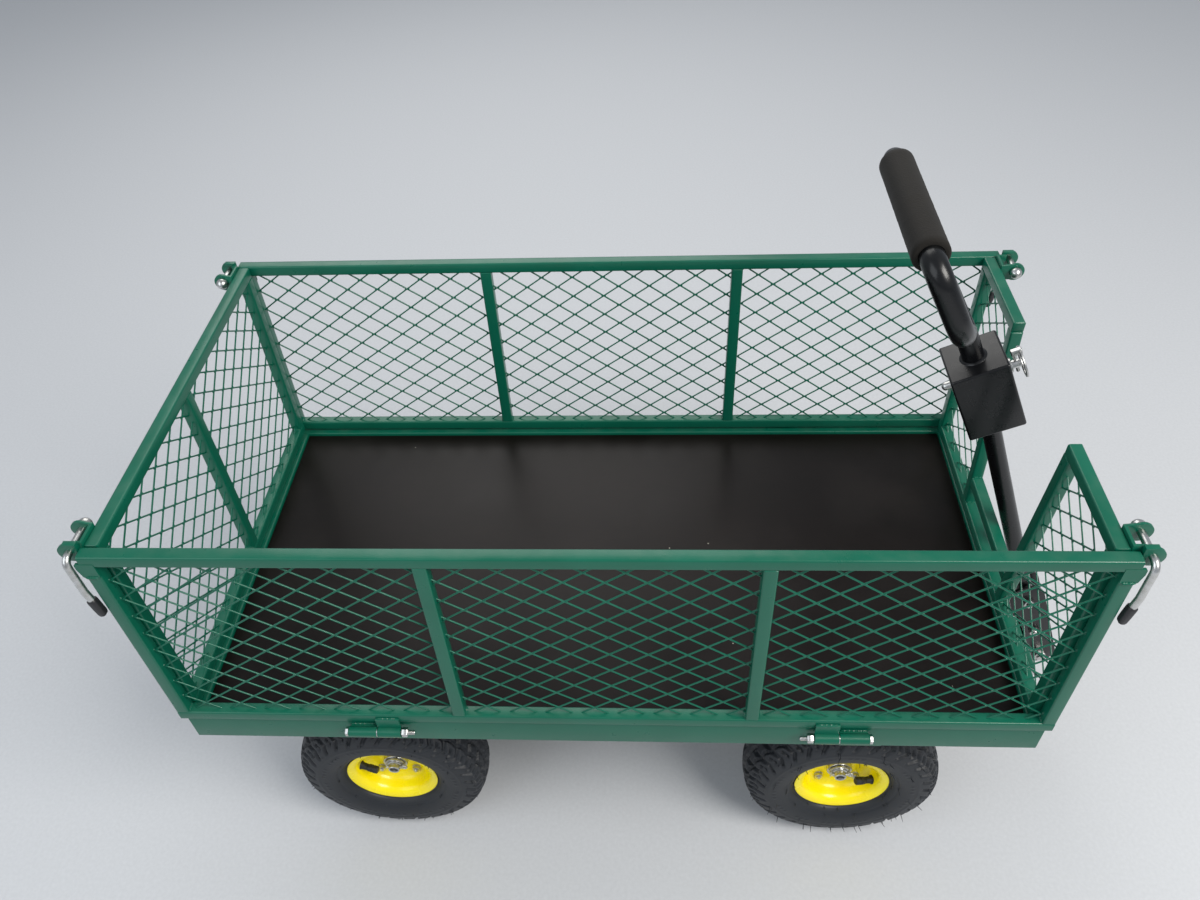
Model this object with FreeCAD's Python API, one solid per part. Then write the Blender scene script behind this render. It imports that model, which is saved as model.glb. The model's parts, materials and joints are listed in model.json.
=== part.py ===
"""Four-wheeled garden cart with mesh sides that fold, a notched front gate and a pull handle.

Millimetres, +Z up, +X to the front (the handle end), ground at Z = 0.
Each function below builds one sub-part; export_all writes one STEP file per node.
"""
import FreeCAD
import Part
import math
import os

Vec = FreeCAD.Vector

# Tray and side panels
TRAY_LENGTH = 1020.0
TRAY_WIDTH = 526.0
PANEL_TUBE = 15.0
PANEL_BOTTOM = 350.0
PANEL_TOP = 652.0
END_PANEL_HALF_WIDTH = 246.5
REAR_PANEL_FACE = 508.0
GATE_FACE = 503.0
TAB_REACH = 5.0
TAB_THICKNESS = 3.0
TAB_TOP = 642.0
TAB_BOTTOM = 622.0

# Expanded-wire mesh in the panels
MESH_PITCH_LONG = 42.0
MESH_PITCH_TALL = 31.0
MESH_STRAND = 2.4
MESH_THICKNESS = 2.4

# Deck frame
FRAME_LENGTH = 1010.0
FRAME_WIDTH = 518.0
FRAME_BOTTOM = 304.0
FRAME_TOP = 346.0
FRAME_WALL = 16.0
DECK_TOP = 342.0
DECK_THICKNESS = 9.0
DECK_GAP = 1.0
CROSS_MEMBER_WIDTH = 24.0
CROSS_MEMBER_PLACES = (-304.0, 0.0, 308.0)

# Panel hinges
HINGE_HEIGHT = 336.0
SIDE_HINGE_REACH = 268.0
END_HINGE_REACH = 514.0
KNUCKLE_RADIUS = 6.5
HINGE_BOLT_RADIUS = 3.0
FIT = 0.05
SIDE_HINGE_START = 243.0
END_HINGE_START = 110.0
PANEL_KNUCKLE_LENGTH = 28.0
FRAME_KNUCKLE_LENGTH = 34.0
KNUCKLE_GAP = 1.0

# Corner latches
ROD_RADIUS = 4.0
ROD_REACH = 521.0
ROD_HEIGHT = 648.0
LEVER_Y = 264.0
LEVER_DROP = 48.0
LEVER_TAIL = 38.0
LEVER_TAIL_ANGLE = 8.0
GRIP_LENGTH = 25.0
GRIP_RADIUS = 5.0
EAR_THICKNESS = 3.0
EAR_INNER_Y = 222.0
EAR_OUTER_Y = 252.5
EAR_RADIUS = 12.0
EAR_CLEAR_OF_POST = 1.5

# Wheels and axles
TYRE_RADIUS = 130.0
TYRE_WIDTH = 85.0
TRACK = 380.0
REAR_AXLE_X = -304.0
FRONT_AXLE_X = 308.0
RIM_RADIUS = 62.5
RIM_WELL_RADIUS = 51.0
RIM_HALF_WIDTH = 30.0
RIM_SHEET = 2.0
HUB_RADIUS = 17.0
HUB_INNER_HALF = 36.0
HUB_OUTER_HALF = 10.0
AXLE_RADIUS = 8.0
AXLE_BORE_RADIUS = 5.5
AXLE_BORE_DEPTH = 18.0
AXLE_STUB = 11.0
BEARING_RADIUS = 14.5
BEARING_LENGTH = 9.0
RIM_BOLT_CIRCLE = 35.0
VALVE_TIP_RADIUS = 22.0
VALVE_TIP_OFFSET = 21.5
VALVE_SLANT = 0.2875
AXLE_BEAM = 30.0
AXLE_BEAM_HALF = 132.0

# Steering
KINGPIN_RADIUS = 8.0
TURNTABLE_RADIUS = 60.0
TURNTABLE_TOP = 268.0
TURNTABLE_THICKNESS = 6.0
TURNTABLE_GAP = 1.0
TONGUE_HALF_WIDTH = 12.0
TONGUE_HEIGHT = 26.0

# Handle
PIVOT_X = 619.0
PIVOT_Z = 145.0
PIVOT_BOLT_RADIUS = 5.0
SHAFT_LEAN = 20.96
HEAD_LEAN = 24.9
SHAFT_RADIUS = 11.0
SHAFT_WALL = 2.0
SHAFT_START = 42.0
HEAD_DISTANCE = 532.2
HEAD_DEPTH = 63.0
HEAD_WIDTH = 64.0
HEAD_HEIGHT = 95.0
HEAD_WALL = 3.0
LOOP_TUBE_RADIUS = 12.0
LOOP_HALF_WIDTH = 113.0
LOOP_TOP = 257.0
LOOP_SHOULDER = 178.0
LOOP_NECK = 85.0
LOOP_SET_BACK = 11.5
SHOULDER_SET_BACK = 8.0
FOAM_RADIUS = 18.0
FOAM_HALF_LENGTH = 88.0
PIN_HEIGHT_IN_HEAD = 17.5
PIN_RADIUS = 5.0
PIN_NOSE = 5.0
CLIP_REACH = 8.5
CLIP_RADIUS = 2.0
CLIP_RING_RADIUS = 17.0
BRACKET_LENGTH = 160.0
BRACKET_WIDTH = 46.0
BRACKET_PLATE = 4.0

# Gate notch
NOTCH_FLOOR = 410.0
NOTCH_HALF_AT_FLOOR = 82.0
NOTCH_SLOPE = 0.09

# The whole box of the object is centred over the origin
REAR_REACH = ROD_REACH + EAR_RADIUS
FRONT_REACH = PIVOT_X + BRACKET_WIDTH / 2.0
SHIFT = Vec(-(FRONT_REACH - REAR_REACH) / 2.0, 0.0, 0.0)

SIDES = {"right": -1, "left": 1}
ENDS = {"rear": -1, "front": 1}


def box(x0, x1, y0, y1, z0, z1):
    """Axis-aligned block between two corners given in any order."""
    low = Vec(min(x0, x1), min(y0, y1), min(z0, z1))
    return Part.makeBox(abs(x1 - x0), abs(y1 - y0), abs(z1 - z0), low)


def rod(start, end, radius):
    """Round bar between two points."""
    axis = end - start
    return Part.makeCylinder(radius, axis.Length, start, axis)


def ring(start, end, outer, inner):
    """Round tube between two points."""
    return rod(start, end, outer).cut(rod(start, end, inner))


def hex_prism(start, end, across_flats):
    """Hexagonal prism between two points, for bolt heads and nuts."""
    axis = end - start
    radius = across_flats / math.sqrt(3.0)
    points = []
    for k in range(7):
        angle = math.radians(60.0 * k)
        points.append(Vec(radius * math.cos(angle), radius * math.sin(angle), 0.0))
    prism = Part.Face(Part.makePolygon(points)).extrude(Vec(0, 0, axis.Length))
    prism.Placement = FreeCAD.Placement(start, FreeCAD.Rotation(Vec(0, 0, 1), axis))
    return prism


def square_tube(x0, x1, y0, y1, z0, z1, axis, wall):
    """Hollow rectangular tube whose bore runs along axis 0, 1 or 2."""
    low = [min(x0, x1), min(y0, y1), min(z0, z1)]
    high = [max(x0, x1), max(y0, y1), max(z0, z1)]
    outer = box(low[0], high[0], low[1], high[1], low[2], high[2])
    for k in range(3):
        if k != axis:
            low[k] += wall
            high[k] -= wall
    return outer.cut(box(low[0], high[0], low[1], high[1], low[2], high[2]))


def fuse(shapes):
    """One solid from touching shapes."""
    return shapes[0].multiFuse(shapes[1:]).removeSplitter()


def plate(points, offset):
    """Flat plate from a closed outline, thickened along a vector."""
    return Part.Face(Part.makePolygon(points + [points[0]])).extrude(offset)


def bent_bar(points, radius, bends):
    """Round bar along straight runs joined by tangent arcs of the given radii."""
    edges = []
    start = points[0]
    for k in range(1, len(points) - 1):
        before = (points[k - 1] - points[k]).normalize()
        after = (points[k + 1] - points[k]).normalize()
        half = before.getAngle(after) / 2.0
        setback = bends[k - 1] / math.tan(half)
        first = points[k] + before * setback
        last = points[k] + after * setback
        centre_line = (before + after).normalize()
        middle = points[k] + centre_line * (bends[k - 1] / math.sin(half) - bends[k - 1])
        edges.append(Part.LineSegment(start, first).toShape())
        edges.append(Part.Arc(first, middle, last).toShape())
        start = last
    edges.append(Part.LineSegment(start, points[-1]).toShape())
    path = Part.Wire(edges)
    circle = Part.makeCircle(radius, points[0], points[1] - points[0])
    return path.makePipeShell([Part.Wire([circle])], True, True)


def clip_polygon(points, inside, crossing):
    """Keep the part of a convex polygon on the inner side of one edge line."""
    kept = []
    for k, point in enumerate(points):
        following = points[(k + 1) % len(points)]
        if inside(point) >= 0.0:
            kept.append(point)
        if (inside(point) >= 0.0) != (inside(following) >= 0.0):
            kept.append(crossing(point, following))
    return kept


def clipped_to_outline(diamond, outline):
    """A diamond cut back to a convex, counter-clockwise outline, 2-D points."""
    shape = diamond
    for k, (u0, v0) in enumerate(outline):
        u1, v1 = outline[(k + 1) % len(outline)]

        def inside(point, u0=u0, v0=v0, u1=u1, v1=v1):
            return (u1 - u0) * (point[1] - v0) - (v1 - v0) * (point[0] - u0)

        def crossing(a, b, inside=inside):
            share = inside(a) / (inside(a) - inside(b))
            return (a[0] + share * (b[0] - a[0]), a[1] + share * (b[1] - a[1]))

        shape = clip_polygon(shape, inside, crossing)
        if len(shape) < 3:
            return []
    return shape


def polygon_area(points):
    """Area of a 2-D polygon."""
    total = 0.0
    for k, (u, v) in enumerate(points):
        following = points[(k + 1) % len(points)]
        total += u * following[1] - following[0] * v
    return abs(total) / 2.0


def inset(outline, margin):
    """A convex counter-clockwise outline moved inwards by a margin."""
    lines = []
    for k, (u0, v0) in enumerate(outline):
        u1, v1 = outline[(k + 1) % len(outline)]
        length = math.hypot(u1 - u0, v1 - v0)
        normal = (-(v1 - v0) / length, (u1 - u0) / length)
        lines.append((normal[0], normal[1], normal[0] * u0 + normal[1] * v0 + margin))
    corners = []
    for k in range(len(lines)):
        a = lines[k - 1]
        b = lines[k]
        det = a[0] * b[1] - a[1] * b[0]
        corners.append(((a[2] * b[1] - a[1] * b[2]) / det, (a[0] * b[2] - a[2] * b[0]) / det))
    return corners


def diamond_mesh(outline, to_space, thickness):
    """Sheet of diamond mesh that fills a convex outline, as one flat solid."""
    window = inset(outline, MESH_STRAND)
    half_long = MESH_PITCH_LONG / 2.0
    half_tall = MESH_PITCH_TALL / 2.0
    shrink = 1.0 - MESH_STRAND / 2.0 * math.hypot(half_long, half_tall) / (half_long * half_tall)
    columns = [u for u, v in outline]
    rows = [v for u, v in outline]
    first_row = math.floor(min(rows) / half_tall) - 1
    last_row = math.ceil(max(rows) / half_tall) + 1
    first_column = math.floor(min(columns) / half_long) - 1
    last_column = math.ceil(max(columns) / half_long) + 1
    holes = []
    for row in range(first_row, last_row + 1):
        for column in range(first_column, last_column + 1):
            if (row + column) % 2:
                continue
            u = column * half_long
            v = row * half_tall
            diamond = [
                (u + half_long * shrink, v),
                (u, v + half_tall * shrink),
                (u - half_long * shrink, v),
                (u, v - half_tall * shrink),
            ]
            hole = clipped_to_outline(diamond, window)
            if hole and polygon_area(hole) > 12.0:
                holes.append(hole)
    wires = [Part.makePolygon([to_space(*p) for p in outline + [outline[0]]])]
    for hole in holes:
        wires.append(Part.makePolygon([to_space(*p) for p in hole + [hole[0]]]))
    return Part.Face(wires).extrude(thickness)


# ---------------------------------------------------------------- deck and frame


def deck_frame():
    """Welded rectangle of upright tube around the deck."""
    half_x = FRAME_LENGTH / 2.0
    half_y = FRAME_WIDTH / 2.0
    bars = []
    for side in (-1, 1):
        inner_y = side * (half_y - FRAME_WALL)
        bars.append(box(-half_x, half_x, inner_y, side * half_y, FRAME_BOTTOM, FRAME_TOP))
        inner_x = side * (half_x - FRAME_WALL)
        bars.append(box(inner_x, side * half_x, -half_y, half_y, FRAME_BOTTOM, FRAME_TOP))
    frame = fuse(bars)
    for side in (-1, 1):
        y = side * (half_y - FRAME_WALL / 2.0)
        bore = box(-half_x + 2, half_x - 2, y - FRAME_WALL / 2.0 + 2, y + FRAME_WALL / 2.0 - 2,
                   FRAME_BOTTOM + 2, FRAME_TOP - 2)
        frame = frame.cut(bore)
    return frame


def cross_members():
    """Three bearers under the deck, between the long sides of the frame."""
    half_y = FRAME_WIDTH / 2.0 - FRAME_WALL
    top = DECK_TOP - DECK_THICKNESS
    bars = []
    for x in CROSS_MEMBER_PLACES:
        half = CROSS_MEMBER_WIDTH / 2.0
        bars.append(square_tube(x - half, x + half, -half_y, half_y, FRAME_BOTTOM, top, 1, 2.0))
    return Part.makeCompound(bars)


def deck_board():
    """Film-faced board let into the frame."""
    half_x = FRAME_LENGTH / 2.0 - FRAME_WALL - DECK_GAP
    half_y = FRAME_WIDTH / 2.0 - FRAME_WALL - DECK_GAP
    return box(-half_x, half_x, -half_y, half_y, DECK_TOP - DECK_THICKNESS, DECK_TOP)


def frame_knuckles():
    """Frame halves of the eight panel hinges, each a barrel with a weld foot."""
    pieces = []
    for start, end, foot in hinge_places(FRAME_KNUCKLE_LENGTH, True):
        barrel = ring(start, end, KNUCKLE_RADIUS, HINGE_BOLT_RADIUS + FIT)
        bore = rod(start, end, KNUCKLE_RADIUS - 1.0)
        pieces.append(fuse([barrel, foot.cut(bore)]))
    return Part.makeCompound(pieces)


def hinge_places(length, on_frame):
    """Axis ends and weld foot of each hinge barrel, on the frame or on a panel."""
    places = []
    gap = PANEL_KNUCKLE_LENGTH + KNUCKLE_GAP if on_frame else 0.0
    for side in (-1, 1):
        for way in (-1, 1):
            a = way * (SIDE_HINGE_START + gap)
            b = way * (SIDE_HINGE_START + gap + length)
            y = side * SIDE_HINGE_REACH
            foot = box(a, b, y, side * FRAME_WIDTH / 2.0, HINGE_HEIGHT - 3.0, HINGE_HEIGHT + 3.0)
            places.append((Vec(a, y, HINGE_HEIGHT), Vec(b, y, HINGE_HEIGHT), foot))
            a = way * (END_HINGE_START + gap)
            b = way * (END_HINGE_START + gap + length)
            x = side * END_HINGE_REACH
            foot = box(x, side * FRAME_LENGTH / 2.0, a, b, HINGE_HEIGHT - 3.0, HINGE_HEIGHT + 3.0)
            places.append((Vec(x, a, HINGE_HEIGHT), Vec(x, b, HINGE_HEIGHT), foot))
    return places


def hinge_bolts():
    """One bolt, head and nut through each of the eight hinges."""
    pieces = []
    for start, end, _foot in hinge_places(FRAME_KNUCKLE_LENGTH, True):
        along = (end - start).normalize()
        nut_face = start - along * (PANEL_KNUCKLE_LENGTH + 2.0 * KNUCKLE_GAP)
        pieces.append(fuse([
            rod(nut_face - along * 16.0, end + along * 0.5, HINGE_BOLT_RADIUS),
            hex_prism(end, end + along * 4.0, 10.0),
            hex_prism(nut_face - along * 9.0, nut_face, 10.0),
        ]))
    return Part.makeCompound(pieces)


def axle_support(x, top, top_half):
    """Axle beam across the cart with two raked legs up to a plate or bearer."""
    half = AXLE_BEAM / 2.0
    beam = box(x - half, x + half, -AXLE_BEAM_HALF, AXLE_BEAM_HALF,
               TYRE_RADIUS - half, TYRE_RADIUS + half)
    legs = []
    for side in (-1, 1):
        foot = side * (AXLE_BEAM_HALF - 24.0)
        head = side * top_half
        outline = [
            Vec(x - 12.0, foot - 14.0, TYRE_RADIUS),
            Vec(x - 12.0, foot + 14.0, TYRE_RADIUS),
            Vec(x - 12.0, head + 12.0, top),
            Vec(x - 12.0, head - 12.0, top),
        ]
        legs.append(plate(outline, Vec(24.0, 0, 0)))
    bore = rod(Vec(x, -AXLE_BEAM_HALF, TYRE_RADIUS), Vec(x, AXLE_BEAM_HALF, TYRE_RADIUS), AXLE_RADIUS)
    return fuse([beam] + legs).cut(bore)


def rear_axle_support():
    """Fixed rear axle beam and legs, up to the rear bearer."""
    return axle_support(REAR_AXLE_X, FRAME_BOTTOM, 60.0)


def axle_shaft(x):
    """Axle bar, bored at its ends, with inner collars, outer washers and split pins."""
    end = TRACK / 2.0 + HUB_OUTER_HALF + AXLE_STUB
    bar = rod(Vec(x, -end, TYRE_RADIUS), Vec(x, end, TYRE_RADIUS), AXLE_RADIUS)
    pieces = []
    for side in (-1, 1):
        outer = TRACK / 2.0 + HUB_OUTER_HALF + 0.6
        inner = TRACK / 2.0 - HUB_INNER_HALF - 0.6
        mouth = Vec(x, side * end, TYRE_RADIUS)
        bar = bar.cut(rod(mouth - Vec(0, side * AXLE_BORE_DEPTH, 0), mouth, AXLE_BORE_RADIUS))
        pieces.append(rod(Vec(x, side * outer, TYRE_RADIUS), Vec(x, side * (outer + 2.5), TYRE_RADIUS), 14.0))
        pieces.append(rod(Vec(x, side * AXLE_BEAM_HALF, TYRE_RADIUS),
                          Vec(x, side * inner, TYRE_RADIUS), 12.0))
        pieces.append(split_pin(x, side * (outer + 5.5)))
    return fuse([bar] + pieces)


def split_pin(x, y):
    """Split pin across an axle end, with an eye on one side and a bent leg on the other."""
    z = TYRE_RADIUS
    reach = AXLE_RADIUS + 4.0
    wire = rod(Vec(x - AXLE_RADIUS - 2.0, y, z), Vec(x + reach, y, z), 1.6)
    eye = Part.makeTorus(3.2, 1.4, Vec(x + reach + 2.0, y, z), Vec(0, 1, 0))
    leg = rod(Vec(x - AXLE_RADIUS - 1.0, y, z), Vec(x - AXLE_RADIUS - 5.0, y, z - 6.0), 1.4)
    return fuse([wire, eye, leg])


def front_pivot_beam():
    """Fixed bearer over the front axle that carries the kingpin."""
    x = FRONT_AXLE_X
    half_y = FRAME_WIDTH / 2.0 - FRAME_WALL
    disc = rod(Vec(x, 0, TURNTABLE_TOP + TURNTABLE_GAP),
               Vec(x, 0, TURNTABLE_TOP + TURNTABLE_GAP + TURNTABLE_THICKNESS), TURNTABLE_RADIUS)
    top_of_disc = TURNTABLE_TOP + TURNTABLE_GAP + TURNTABLE_THICKNESS
    beam = box(x - 25.0, x + 25.0, -half_y, half_y, top_of_disc, FRAME_BOTTOM)
    hollow = box(x - 22.0, x + 22.0, -half_y, half_y, top_of_disc + 3.0, FRAME_BOTTOM - 3.0)
    hole = rod(Vec(x, 0, TURNTABLE_TOP), Vec(x, 0, FRAME_BOTTOM), KINGPIN_RADIUS)
    return fuse([disc, beam.cut(hollow)]).cut(hole)


def kingpin():
    """Steering bolt, held in the fixed bearer, with its nut under the turntable."""
    x = FRONT_AXLE_X
    under = TURNTABLE_TOP - TURNTABLE_THICKNESS
    return fuse([
        rod(Vec(x, 0, under - 16.0), Vec(x, 0, FRAME_BOTTOM - 3.0), KINGPIN_RADIUS),
        hex_prism(Vec(x, 0, under - 13.0), Vec(x, 0, under - 1.0), 24.0),
    ])


# ---------------------------------------------------------------- side panels


def side_panel_frame(side):
    """Welded tube frame of one long side with its hinge knuckles, and its two corner tabs."""
    half = TRAY_LENGTH / 2.0
    outer = side * TRAY_WIDTH / 2.0
    inner = outer - side * PANEL_TUBE
    bars = [
        box(-half, half, inner, outer, PANEL_TOP - PANEL_TUBE, PANEL_TOP),
        box(-half, half, inner, outer, PANEL_BOTTOM, PANEL_BOTTOM + PANEL_TUBE),
    ]
    for left in side_post_places():
        bars.append(box(left, left + PANEL_TUBE, inner, outer, PANEL_BOTTOM, PANEL_TOP))
    frame = with_knuckles(fuse(bars), side, True)
    tabs = [corner_tab(end, outer, -side * TAB_THICKNESS) for end in (-1, 1)]
    return Part.makeCompound([frame] + tabs)


def corner_tab(end, y, thickness):
    """Catch plate welded to the end of the corner post, under the top rail; a solid of its own."""
    post = end * TRAY_LENGTH / 2.0
    tip = end * (TRAY_LENGTH / 2.0 + TAB_REACH)
    outline = [
        Vec(post, y, TAB_TOP), Vec(tip, y, TAB_TOP), Vec(tip, y, TAB_TOP - 8.0),
        Vec(post + end * 2.0, y, TAB_BOTTOM), Vec(post, y, TAB_BOTTOM),
    ]
    return plate(outline, Vec(0, thickness, 0))


def side_post_places():
    """Low X edge of each upright of a side panel: two ends and two at the thirds."""
    half = TRAY_LENGTH / 2.0
    third = TRAY_LENGTH / 6.0
    return [-half, -third - PANEL_TUBE / 2.0, third - PANEL_TUBE / 2.0, half - PANEL_TUBE]


def with_knuckles(frame, side, along_x):
    """Weld the panel halves of the two hinges to a panel frame."""
    pieces = [frame]
    start_at = SIDE_HINGE_START if along_x else END_HINGE_START
    for way in (-1, 1):
        a = way * start_at
        b = way * (start_at + PANEL_KNUCKLE_LENGTH)
        if along_x:
            y = side * SIDE_HINGE_REACH
            face = side * TRAY_WIDTH / 2.0
            start = Vec(a, y, HINGE_HEIGHT)
            end = Vec(b, y, HINGE_HEIGHT)
            tab = box(a, b, face, face + side * TAB_THICKNESS, HINGE_HEIGHT, PANEL_BOTTOM + 8.0)
            pieces.append(tab.cut(rod(start, end, KNUCKLE_RADIUS - 1.0)))
        else:
            x = side * END_HINGE_REACH
            face = side * (REAR_PANEL_FACE if side < 0 else GATE_FACE)
            start = Vec(x, a, HINGE_HEIGHT)
            end = Vec(x, b, HINGE_HEIGHT)
            wall = x - side * 3.0
            tab = box(wall, wall - side * TAB_THICKNESS, a, b, HINGE_HEIGHT, PANEL_BOTTOM + 9.0)
            shelf = box(wall, face, a, b, PANEL_BOTTOM + 6.0, PANEL_BOTTOM + 9.0)
            pieces.append(tab.cut(rod(start, end, KNUCKLE_RADIUS - 1.0)))
            pieces.append(shelf)
        pieces.append(ring(start, end, KNUCKLE_RADIUS, HINGE_BOLT_RADIUS + FIT))
    return fuse(pieces)


def side_panel_mesh(side):
    """Three bays of diamond mesh, set in the middle of the panel's tubes."""
    posts = side_post_places()
    y = side * (TRAY_WIDTH / 2.0 - PANEL_TUBE / 2.0) - MESH_THICKNESS / 2.0
    low = PANEL_BOTTOM + PANEL_TUBE
    high = PANEL_TOP - PANEL_TUBE
    sheets = []
    for left, right in zip(posts[:-1], posts[1:]):
        outline = [(left + PANEL_TUBE, low), (right, low), (right, high), (left + PANEL_TUBE, high)]
        sheets.append(diamond_mesh(outline, lambda u, v: Vec(u, y, v), Vec(0, MESH_THICKNESS, 0)))
    return Part.makeCompound(sheets)


def end_faces(end):
    """Outer and inner X of an end panel's tubes."""
    outer = end * (REAR_PANEL_FACE if end < 0 else GATE_FACE)
    return outer, outer - end * PANEL_TUBE


def rear_panel_frame():
    """Plain two-bay frame that closes the rear end."""
    outer, inner = end_faces(-1)
    half = END_PANEL_HALF_WIDTH
    bars = [
        box(inner, outer, -half, half, PANEL_TOP - PANEL_TUBE, PANEL_TOP),
        box(inner, outer, -half, half, PANEL_BOTTOM, PANEL_BOTTOM + PANEL_TUBE),
    ]
    for low in (-half, -PANEL_TUBE / 2.0, half - PANEL_TUBE):
        bars.append(box(inner, outer, low, low + PANEL_TUBE, PANEL_BOTTOM, PANEL_TOP))
    return with_knuckles(fuse(bars), -1, False)


def notch_edge(z):
    """Half width of the gate's notch at a height."""
    return NOTCH_HALF_AT_FLOOR + (z - NOTCH_FLOOR) * NOTCH_SLOPE


def gate_frame():
    """Front gate: two wings with a notch between them for the parked handle."""
    outer, inner = end_faces(1)
    half = END_PANEL_HALF_WIDTH
    leg = PANEL_TUBE * math.hypot(1.0, NOTCH_SLOPE)
    bars = [box(inner, outer, -half, half, PANEL_BOTTOM, PANEL_BOTTOM + PANEL_TUBE)]
    floor_half = notch_edge(NOTCH_FLOOR) + 2.0
    bars.append(box(inner, outer, -floor_half, floor_half, NOTCH_FLOOR - PANEL_TUBE, NOTCH_FLOOR))
    for side in (-1, 1):
        bars.append(box(inner, outer, side * (half - PANEL_TUBE), side * half, PANEL_BOTTOM, PANEL_TOP))
        peak = side * notch_edge(PANEL_TOP)
        bars.append(box(inner, outer, peak, side * half, PANEL_TOP - PANEL_TUBE, PANEL_TOP))
        foot_z = PANEL_BOTTOM + PANEL_TUBE / 2.0
        outline = [
            Vec(inner, side * notch_edge(foot_z), foot_z),
            Vec(inner, side * (notch_edge(foot_z) + leg), foot_z),
            Vec(inner, side * (notch_edge(PANEL_TOP) + leg), PANEL_TOP),
            Vec(inner, side * notch_edge(PANEL_TOP), PANEL_TOP),
        ]
        bars.append(plate(outline, Vec(outer - inner, 0, 0)))
    return with_knuckles(fuse(bars), 1, False)


def end_mesh(outlines, end):
    """Mesh sheets of an end panel from outlines in Y and Z."""
    outer, inner = end_faces(end)
    x = (outer + inner) / 2.0 - MESH_THICKNESS / 2.0
    sheets = []
    for outline in outlines:
        sheets.append(diamond_mesh(outline, lambda u, v: Vec(x, u, v), Vec(MESH_THICKNESS, 0, 0)))
    return Part.makeCompound(sheets)


def rear_panel_mesh():
    """Two bays of mesh in the rear panel."""
    low = PANEL_BOTTOM + PANEL_TUBE
    high = PANEL_TOP - PANEL_TUBE
    near = PANEL_TUBE / 2.0
    far = END_PANEL_HALF_WIDTH - PANEL_TUBE
    right_bay = [(-far, low), (-near, low), (-near, high), (-far, high)]
    left_bay = [(near, low), (far, low), (far, high), (near, high)]
    return end_mesh([right_bay, left_bay], -1)


def gate_mesh():
    """One tapered bay of mesh in each wing of the gate."""
    low = PANEL_BOTTOM + PANEL_TUBE
    high = PANEL_TOP - PANEL_TUBE
    far = END_PANEL_HALF_WIDTH - PANEL_TUBE
    leg = PANEL_TUBE * math.hypot(1.0, NOTCH_SLOPE)
    bottom = notch_edge(low) + leg
    top = notch_edge(high) + leg
    left_wing = [(bottom, low), (far, low), (far, high), (top, high)]
    right_wing = [(-far, low), (-bottom, low), (-top, high), (-far, high)]
    return end_mesh([left_wing, right_wing], 1)


# ---------------------------------------------------------------- corner latches


def latch_brackets(end):
    """Two bent brackets on an end panel's outer face that carry the latch rods."""
    face, _inner = end_faces(end)
    clear = end * (TRAY_LENGTH / 2.0 + EAR_CLEAR_OF_POST)
    web = clear + end * 4.0
    top = ROD_HEIGHT + 8.0
    bottom = ROD_HEIGHT - 12.0
    pieces = []
    for side in (-1, 1):
        across = side * EAR_THICKNESS
        inner_ear = side * (EAR_INNER_Y - EAR_THICKNESS)
        rim_edge = side * END_PANEL_HALF_WIDTH
        outer_ear = side * (EAR_OUTER_Y - EAR_THICKNESS)
        root = fuse([
            box(face, face + end * EAR_THICKNESS, inner_ear, rim_edge, bottom, top),
            box(face, web, rim_edge - across, rim_edge, bottom, top),
            latch_ear(end, face, inner_ear, across),
        ])
        past_post = box(clear, clear + end * 40.0, outer_ear, outer_ear + across, bottom - 9.0, top + 9.0)
        tip = fuse([
            box(clear, web, rim_edge, outer_ear + across, bottom, top),
            box(clear, end * (ROD_REACH + 4.0), rim_edge, outer_ear + across, top, top + EAR_THICKNESS),
            latch_ear(end, clear, outer_ear, across).common(past_post),
        ])
        bore = rod(Vec(end * ROD_REACH, side * 200.0, ROD_HEIGHT),
                   Vec(end * ROD_REACH, side * 260.0, ROD_HEIGHT), ROD_RADIUS + FIT)
        pieces.extend([root.cut(bore), tip.cut(bore)])
    return Part.makeCompound(pieces)


def latch_ear(end, root, y, thickness):
    """Leaf-shaped ear: straight along the top, rounded off past the rod."""
    x = end * ROD_REACH
    across = Vec(0, thickness, 0)
    tip = rod(Vec(x, y, ROD_HEIGHT - 1.0), Vec(x, y, ROD_HEIGHT - 1.0) + across, EAR_RADIUS)
    outline = [
        Vec(root, y, ROD_HEIGHT + 8.0), Vec(x + end * 3.0, y, ROD_HEIGHT + 10.9),
        Vec(x - end * 2.0, y, ROD_HEIGHT - 12.0), Vec(root, y, ROD_HEIGHT - 12.0),
    ]
    return fuse([plate(outline, across), tip])


def lever_points(end, side):
    """Centre line of a latch lever: along the hinge line, down, then in to the grip."""
    x = end * ROD_REACH
    y = side * LEVER_Y
    knee = ROD_HEIGHT - LEVER_DROP
    lean = math.radians(LEVER_TAIL_ANGLE)
    tail_x = x - end * LEVER_TAIL * math.sin(lean)
    tail_z = knee - LEVER_TAIL * math.cos(lean)
    start_y = side * (EAR_INNER_Y - EAR_THICKNESS - 3.0)
    return [Vec(x, start_y, ROD_HEIGHT), Vec(x, y, ROD_HEIGHT), Vec(x, y, knee), Vec(tail_x, y, tail_z)]


def latch_lever(end, side):
    """Bent rod with a domed stop nut at its inner end."""
    points = lever_points(end, side)
    tail = (points[3] - points[2]).normalize()
    bar_end = points[3] - tail * 4.0
    bar = bent_bar(points[:3] + [bar_end], ROD_RADIUS, [6.0, 14.0])
    nut_y = side * (EAR_INNER_Y - EAR_THICKNESS - 0.6)
    nut_end = nut_y - side * 5.0
    nut = rod(Vec(points[0].x, nut_y, ROD_HEIGHT), Vec(points[0].x, nut_end, ROD_HEIGHT), 7.5)
    dome = Part.makeSphere(6.5, Vec(points[0].x, nut_end, ROD_HEIGHT))
    return fuse([bar, nut, dome])


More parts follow.
